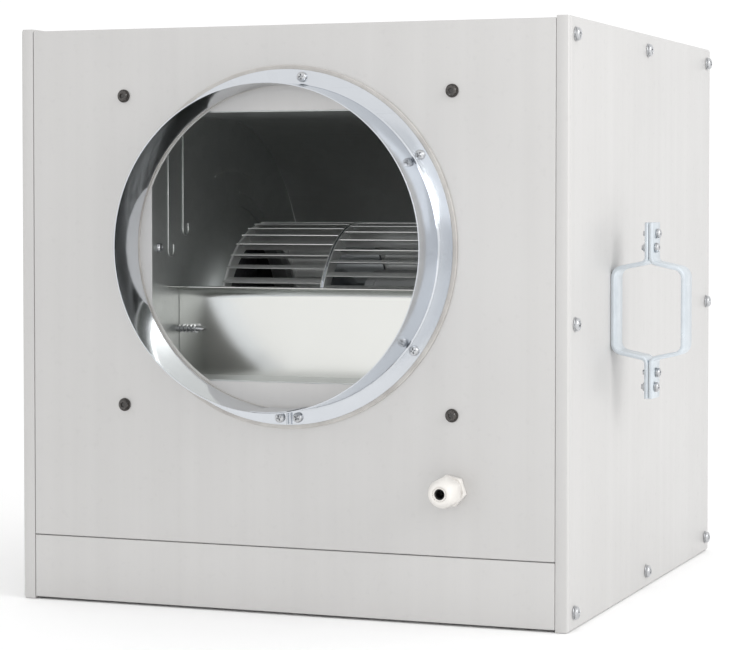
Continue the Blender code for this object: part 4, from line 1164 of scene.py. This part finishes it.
for label, side in (("left", -1), ("right", 1)):
    ring_low, ring_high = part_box(f"{label}_inlet_ring")
    seat = max(abs(ring_low.x), abs(ring_high.x)) - 0.001
    rim = min(abs(ring_low.x), abs(ring_high.x))
    outer = (ring_high.z - ring_low.z) / 2
    mouth = outer - BELL_FLANGE
    reach = (mouth - THROAT_RADIUS, seat - rim)
    bell = [(mouth - reach[0] * math.cos(t), rim + reach[1] * math.sin(t))
            for t in [math.pi / 2 * step / 12 for step in range(13)]]
    skin = [*bell, (outer, seat), (outer, seat + 0.001), (mouth, seat + 0.001)]
    back = [(r - 0.0009, a + 0.0004) for r, a in reversed(bell[:-1])]
    loop = [(radius, side * along) for radius, along in [*skin, *back]]
    ring = turned(f"{label}_bell_mouth", loop, "X", WHEEL, 96)
    finish(ring, "casing", DULL_ZINC, (f"{label}_inlet_ring",), 70)
print("two bell mouths, throat radius", THROAT_RADIUS)

# %% [markdown]
# ## The wheel
# Each half of the wheel is a cage of curved blades on a rim. One blade is drawn as a bent
# strip, and the spin operator with copies sets the rest round the shaft. The two halves are
# set half a step apart, which evens out the wheel's noise. A thin band lies on each face of
# the middle disc, over the blades' feet.

# %% Blades, rims and bands
BLADES = 42
PITCH = 2 * math.pi / BLADES
CHORD = 0.0165
BLADE_SHEET = 0.0008
BLADE_BULGE = 0.0035
BLADE_LEAN = math.radians(24)
BAND_INNER, BAND_OUTER = 0.1010, 0.1179
BAND_FOOT, BAND_TOP = 0.0011, 0.0019


def blade_line(steps=6):
    heel = WHEEL_RADIUS - CHORD
    lean = BLADE_LEAN * CHORD / WHEEL_RADIUS * 2
    for step in range(steps + 1):
        share = step / steps
        radius = heel + (CHORD - BLADE_SHEET) * share
        turn = lean * share - BLADE_BULGE * math.sin(math.pi * share) / radius
        yield (radius * math.cos(turn), radius * math.sin(turn))


def blade_ring(name, side, start_turn, node_name):
    low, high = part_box(node_name)
    far = max(abs(low.x), abs(high.x))
    near = min(abs(low.x), abs(high.x))
    spin = Matrix.Rotation(start_turn, 2)
    points = []
    foot = near + BLADE_SHEET
    for point in blade_line():
        y, z = spin @ Vector(point)
        points.append((side * foot, WHEEL.y + y, WHEEL.z + z))
    blade = bent_strip(name, points, (side * (far - foot - 0.0004), 0, 0), BLADE_SHEET)
    soften(blade, 0.0001, 1, 60)
    open_piece(blade)
    bpy.ops.mesh.select_all(action="SELECT")
    bpy.ops.mesh.spin(steps=BLADES, angle=2 * math.pi, center=WHEEL, axis=(1, 0, 0), dupli=True)
    clean(blade)
    rim = [
        (WHEEL_RADIUS - CHORD - BLADE_SHEET, far - 0.0030),
        (WHEEL_RADIUS - 0.0040, far - 0.0030),
        (WHEEL_RADIUS - 0.0030, far - 0.0022),
        (WHEEL_RADIUS - 0.0030, far - 0.0006),
        (WHEEL_RADIUS - 0.0038, far),
        (WHEEL_RADIUS - CHORD, far),
    ]
    loop = [(radius, side * along) for radius, along in rim]
    ring = turned(name + "_rim", loop, "X", WHEEL, 126)
    finish(ring, "rotor", BLADE_ZINC)
    finish(blade, "rotor", BLADE_ZINC, (node_name,))


blade_ring("left_blades", -1, -0.1 * PITCH, "left_blade_cage")
blade_ring("right_blades", 1, 0.4 * PITCH, "right_blade_cage")
for side in (-1, 1):
    corners = ((BAND_INNER, BAND_FOOT), (BAND_OUTER, BAND_FOOT), (BAND_OUTER, BAND_TOP),
               (BAND_INNER, BAND_TOP))
    band = [(radius, side * along) for radius, along in corners]
    ring = turned(f"wheel_band_{side + 2}", band, "X", WHEEL, 126)
    finish(ring, "rotor", BLADE_ZINC)
print("two rings of", BLADES, "blades")

# %% [markdown]
# ## Beads in the blower's side plates
# Lines are pressed into each side plate to stiffen it: two upright ones that hook round at the
# foot, and two arcs about the shaft. Each is a low strip along the line, with its edges rounded
# so that it reads as pressed metal.

# %% Pressed beads
PLATE_X = DUCT_HALF
BEAD_WIDTH = 0.0125
ARC_PROUD = 0.0006
UPRIGHT_BEADS = ((0.042, 0.350, 0.470), (0.077, 0.371, 0.484))
ARC_BEADS = ((0.150, 96, 142), (0.172, 74, 108))


def bead(name, side, line, proud=0.0009, width=0.0016):
    """A pressed line on a side plate: a low rounded ridge that follows (y, z) points."""
    foot = side * (PLATE_X + 0.0002)
    points = [(foot, y, z) for y, z in line]
    piece = bent_strip(name, points, (-side * (proud + 0.0002), 0, 0), width)
    soften(piece, 0.0004, 3, 60)
    return finish(piece, "casing", DULL_ZINC, (), 60)


for label, side in (("left", -1), ("right", 1)):
    for number, (depth, foot, top) in enumerate(UPRIGHT_BEADS, 1):
        y = FRONT_Y + depth
        foot_line = [(y, top), (y, foot), (y + BEAD_WIDTH, foot), (y + BEAD_WIDTH, foot + 0.012)]
        bead(f"{label}_plate_bead_{number}", side, rounded(foot_line, BEAD_WIDTH * 0.46, 6))
    for number, (radius, start, end) in enumerate(ARC_BEADS, 1):
        turns = [math.radians(start + (end - start) * step / 24) for step in range(25)]
        line = [(WHEEL.y - radius * math.cos(t), WHEEL.z + radius * math.sin(t)) for t in turns]
        bead(f"{label}_plate_arc_{number}", side, line, ARC_PROUD)
print("beads pressed")

# %% [markdown]
# ## Self-tapping screws
# Sheet-metal screws hold the cut-off plate through the side plates, so that their bare threads
# show inside. The thread is a narrow flat-topped ridge, carried round and along by a Screw
# modifier. The pointed shank inside it is turned on its own.

# %% Self-tapping screws and frame rivets
SCREW_DEPTH = CUTOFF_Y - 0.006
SCREW_HEIGHT = 0.2757
ROOT = 0.0024
CREST = 0.0045
THREAD_PITCH = 0.0042
THREAD_TURNS = 5
SCREW_TWIST = 0.4
RIVET_DEPTH = 0.019
RIVET_HEIGHT = 0.359


def threaded_masters():
    """A pointed shank along +Z, and the raised helix that winds round it."""
    length = THREAD_PITCH * (THREAD_TURNS + 0.9)
    tip = length + 0.005
    core_line = [(0.0, -0.002), (ROOT, -0.002), (ROOT, length), (0.0005, tip), (0.0, tip)]
    core = turned("threaded_shank", core_line, "Z", (0, 0, 0), 24, ring=False)
    foot = ROOT - 0.0003
    low = THREAD_PITCH * 0.55
    ridge = line_of("ridge", [
        (foot, 0, low - 0.0010),
        (CREST, 0, low - 0.0002),
        (CREST, 0, low + 0.0002),
        (foot, 0, low + 0.0010),
        (foot, 0, low - 0.0010),
    ])
    bpy.ops.mesh.select_all(action="SELECT")
    bpy.ops.mesh.remove_doubles(threshold=1e-5)
    bpy.ops.object.mode_set(mode="OBJECT")
    apply_modifier(ridge, "SCREW", axis="Z", angle=2 * math.pi, iterations=THREAD_TURNS,
                   screw_offset=THREAD_PITCH, steps=20, render_steps=20)
    open_piece(ridge)
    bpy.ops.mesh.select_all(action="SELECT")
    bpy.ops.mesh.fill_holes(sides=8)
    clean(ridge)
    return core, ridge


bare_shank, thread_ridge = threaded_masters()
for label, side in (("left", -1), ("right", 1)):
    outside = (side * (PLATE_X + 0.0013), SCREW_DEPTH, SCREW_HEIGHT)
    head = copy_to(plain_screw, f"{label}_cutoff_screw_head", outside, (side, 0, 0), 0.7)
    finish(head, "casing", SCREW_ZINC)
    front_edge = (side * PLATE_X, FRONT_Y + RIVET_DEPTH, RIVET_HEIGHT)
    rivet = copy_to(plain_screw, f"{label}_frame_rivet", front_edge, (-side, 0, 0), SCREW_TWIST)
    finish(rivet, "casing", SCREW_ZINC)
    place = (side * PLATE_X, SCREW_DEPTH, SCREW_HEIGHT)
    shank = copy_to(bare_shank, f"{label}_cutoff_screw", place, (-side, 0, 0), SCREW_TWIST)
    finish(shank, "casing", STEEL)
    thread = copy_to(thread_ridge, f"{label}_cutoff_screw_thread", place, (-side, 0, 0), SCREW_TWIST)
    finish(thread, "casing", SCREW_ZINC)
throw_away(plain_screw, nut, flush_screw, bare_shank, thread_ridge)
print("self-tapping screws in")

# %% [markdown]
# ## Light, floor and camera
# The fan stands on a plain pale floor in an even white room. A broad key from the right and a
# weak one in front shape the sheet, and a narrow lamp looks into the outlet to show the blower.
# The camera stands to the right of the outlet, a little below the top of the box, with a long
# lens so the box hardly tapers.

# %% Stage
nothing_selected()
bpy.ops.mesh.primitive_plane_add(size=14, location=(0, 0, -0.0005))
floor = bpy.context.object
floor.name = "studio_floor"
bpy.ops.object.transform_apply(location=True, rotation=True, scale=True)
paper = bpy.data.materials.new("studio paper")
paper.use_nodes = True
paper_shader = paper.node_tree.nodes["Principled BSDF"]
paper_shader.inputs["Base Color"].default_value = (0.97, 0.97, 0.97, 1)
paper_shader.inputs["Roughness"].default_value = 0.9
floor.data.materials.append(paper)

world = bpy.data.worlds.new("studio")
world.use_nodes = True
background = world.node_tree.nodes["Background"]
background.inputs["Color"].default_value = (1.0, 1.0, 1.0, 1)
background.inputs["Strength"].default_value = 1.06
bpy.context.scene.world = world
bpy.context.scene.view_settings.view_transform = "Standard"


def hang(light, place, aim):
    """Puts a lamp in place, looking at a point."""
    lamp = bpy.data.objects.new(light.name, light)
    lamp.location = place
    lamp.rotation_euler = (Vector(aim) - Vector(place)).to_track_quat("-Z", "Y").to_euler()
    bpy.context.scene.collection.objects.link(lamp)


def softbox(name, place, aim, size, power):
    light = bpy.data.lights.new(name, "AREA")
    light.shape = "RECTANGLE"
    light.size, light.size_y = size
    light.energy = power
    hang(light, place, aim)


softbox("key", (2.8, -0.9, 1.6), (0.2, -0.1, 0.3), (1.4, 1.6), 30)
softbox("front", (0.9, -3.2, 1.2), (0, -0.1, 0.3), (1.6, 1.2), 3)

snoot = bpy.data.lights.new("snoot", "SPOT")
snoot.energy = 42
snoot.spot_size = math.radians(8.5)
snoot.spot_blend = 0.6
snoot.shadow_soft_size = 0.12
hang(snoot, (0.15, -2.3, 0.62), (0.0, -0.2, 0.34))

CAMERA_PLACE = (0.91805, -2.46783, 0.41021)
CAMERA_YAW = 0.364
CAMERA_PITCH = 0.034
camera_data = bpy.data.cameras.new("camera")
camera_data.sensor_width = 36
camera_data.lens = 118.11
camera_data.shift_y = -0.0623
camera = bpy.data.objects.new("camera", camera_data)
camera.location = CAMERA_PLACE
camera.rotation_euler = (math.pi / 2 - CAMERA_PITCH, 0, CAMERA_YAW)
bpy.context.scene.collection.objects.link(camera)
bpy.context.scene.camera = camera
print("stage set")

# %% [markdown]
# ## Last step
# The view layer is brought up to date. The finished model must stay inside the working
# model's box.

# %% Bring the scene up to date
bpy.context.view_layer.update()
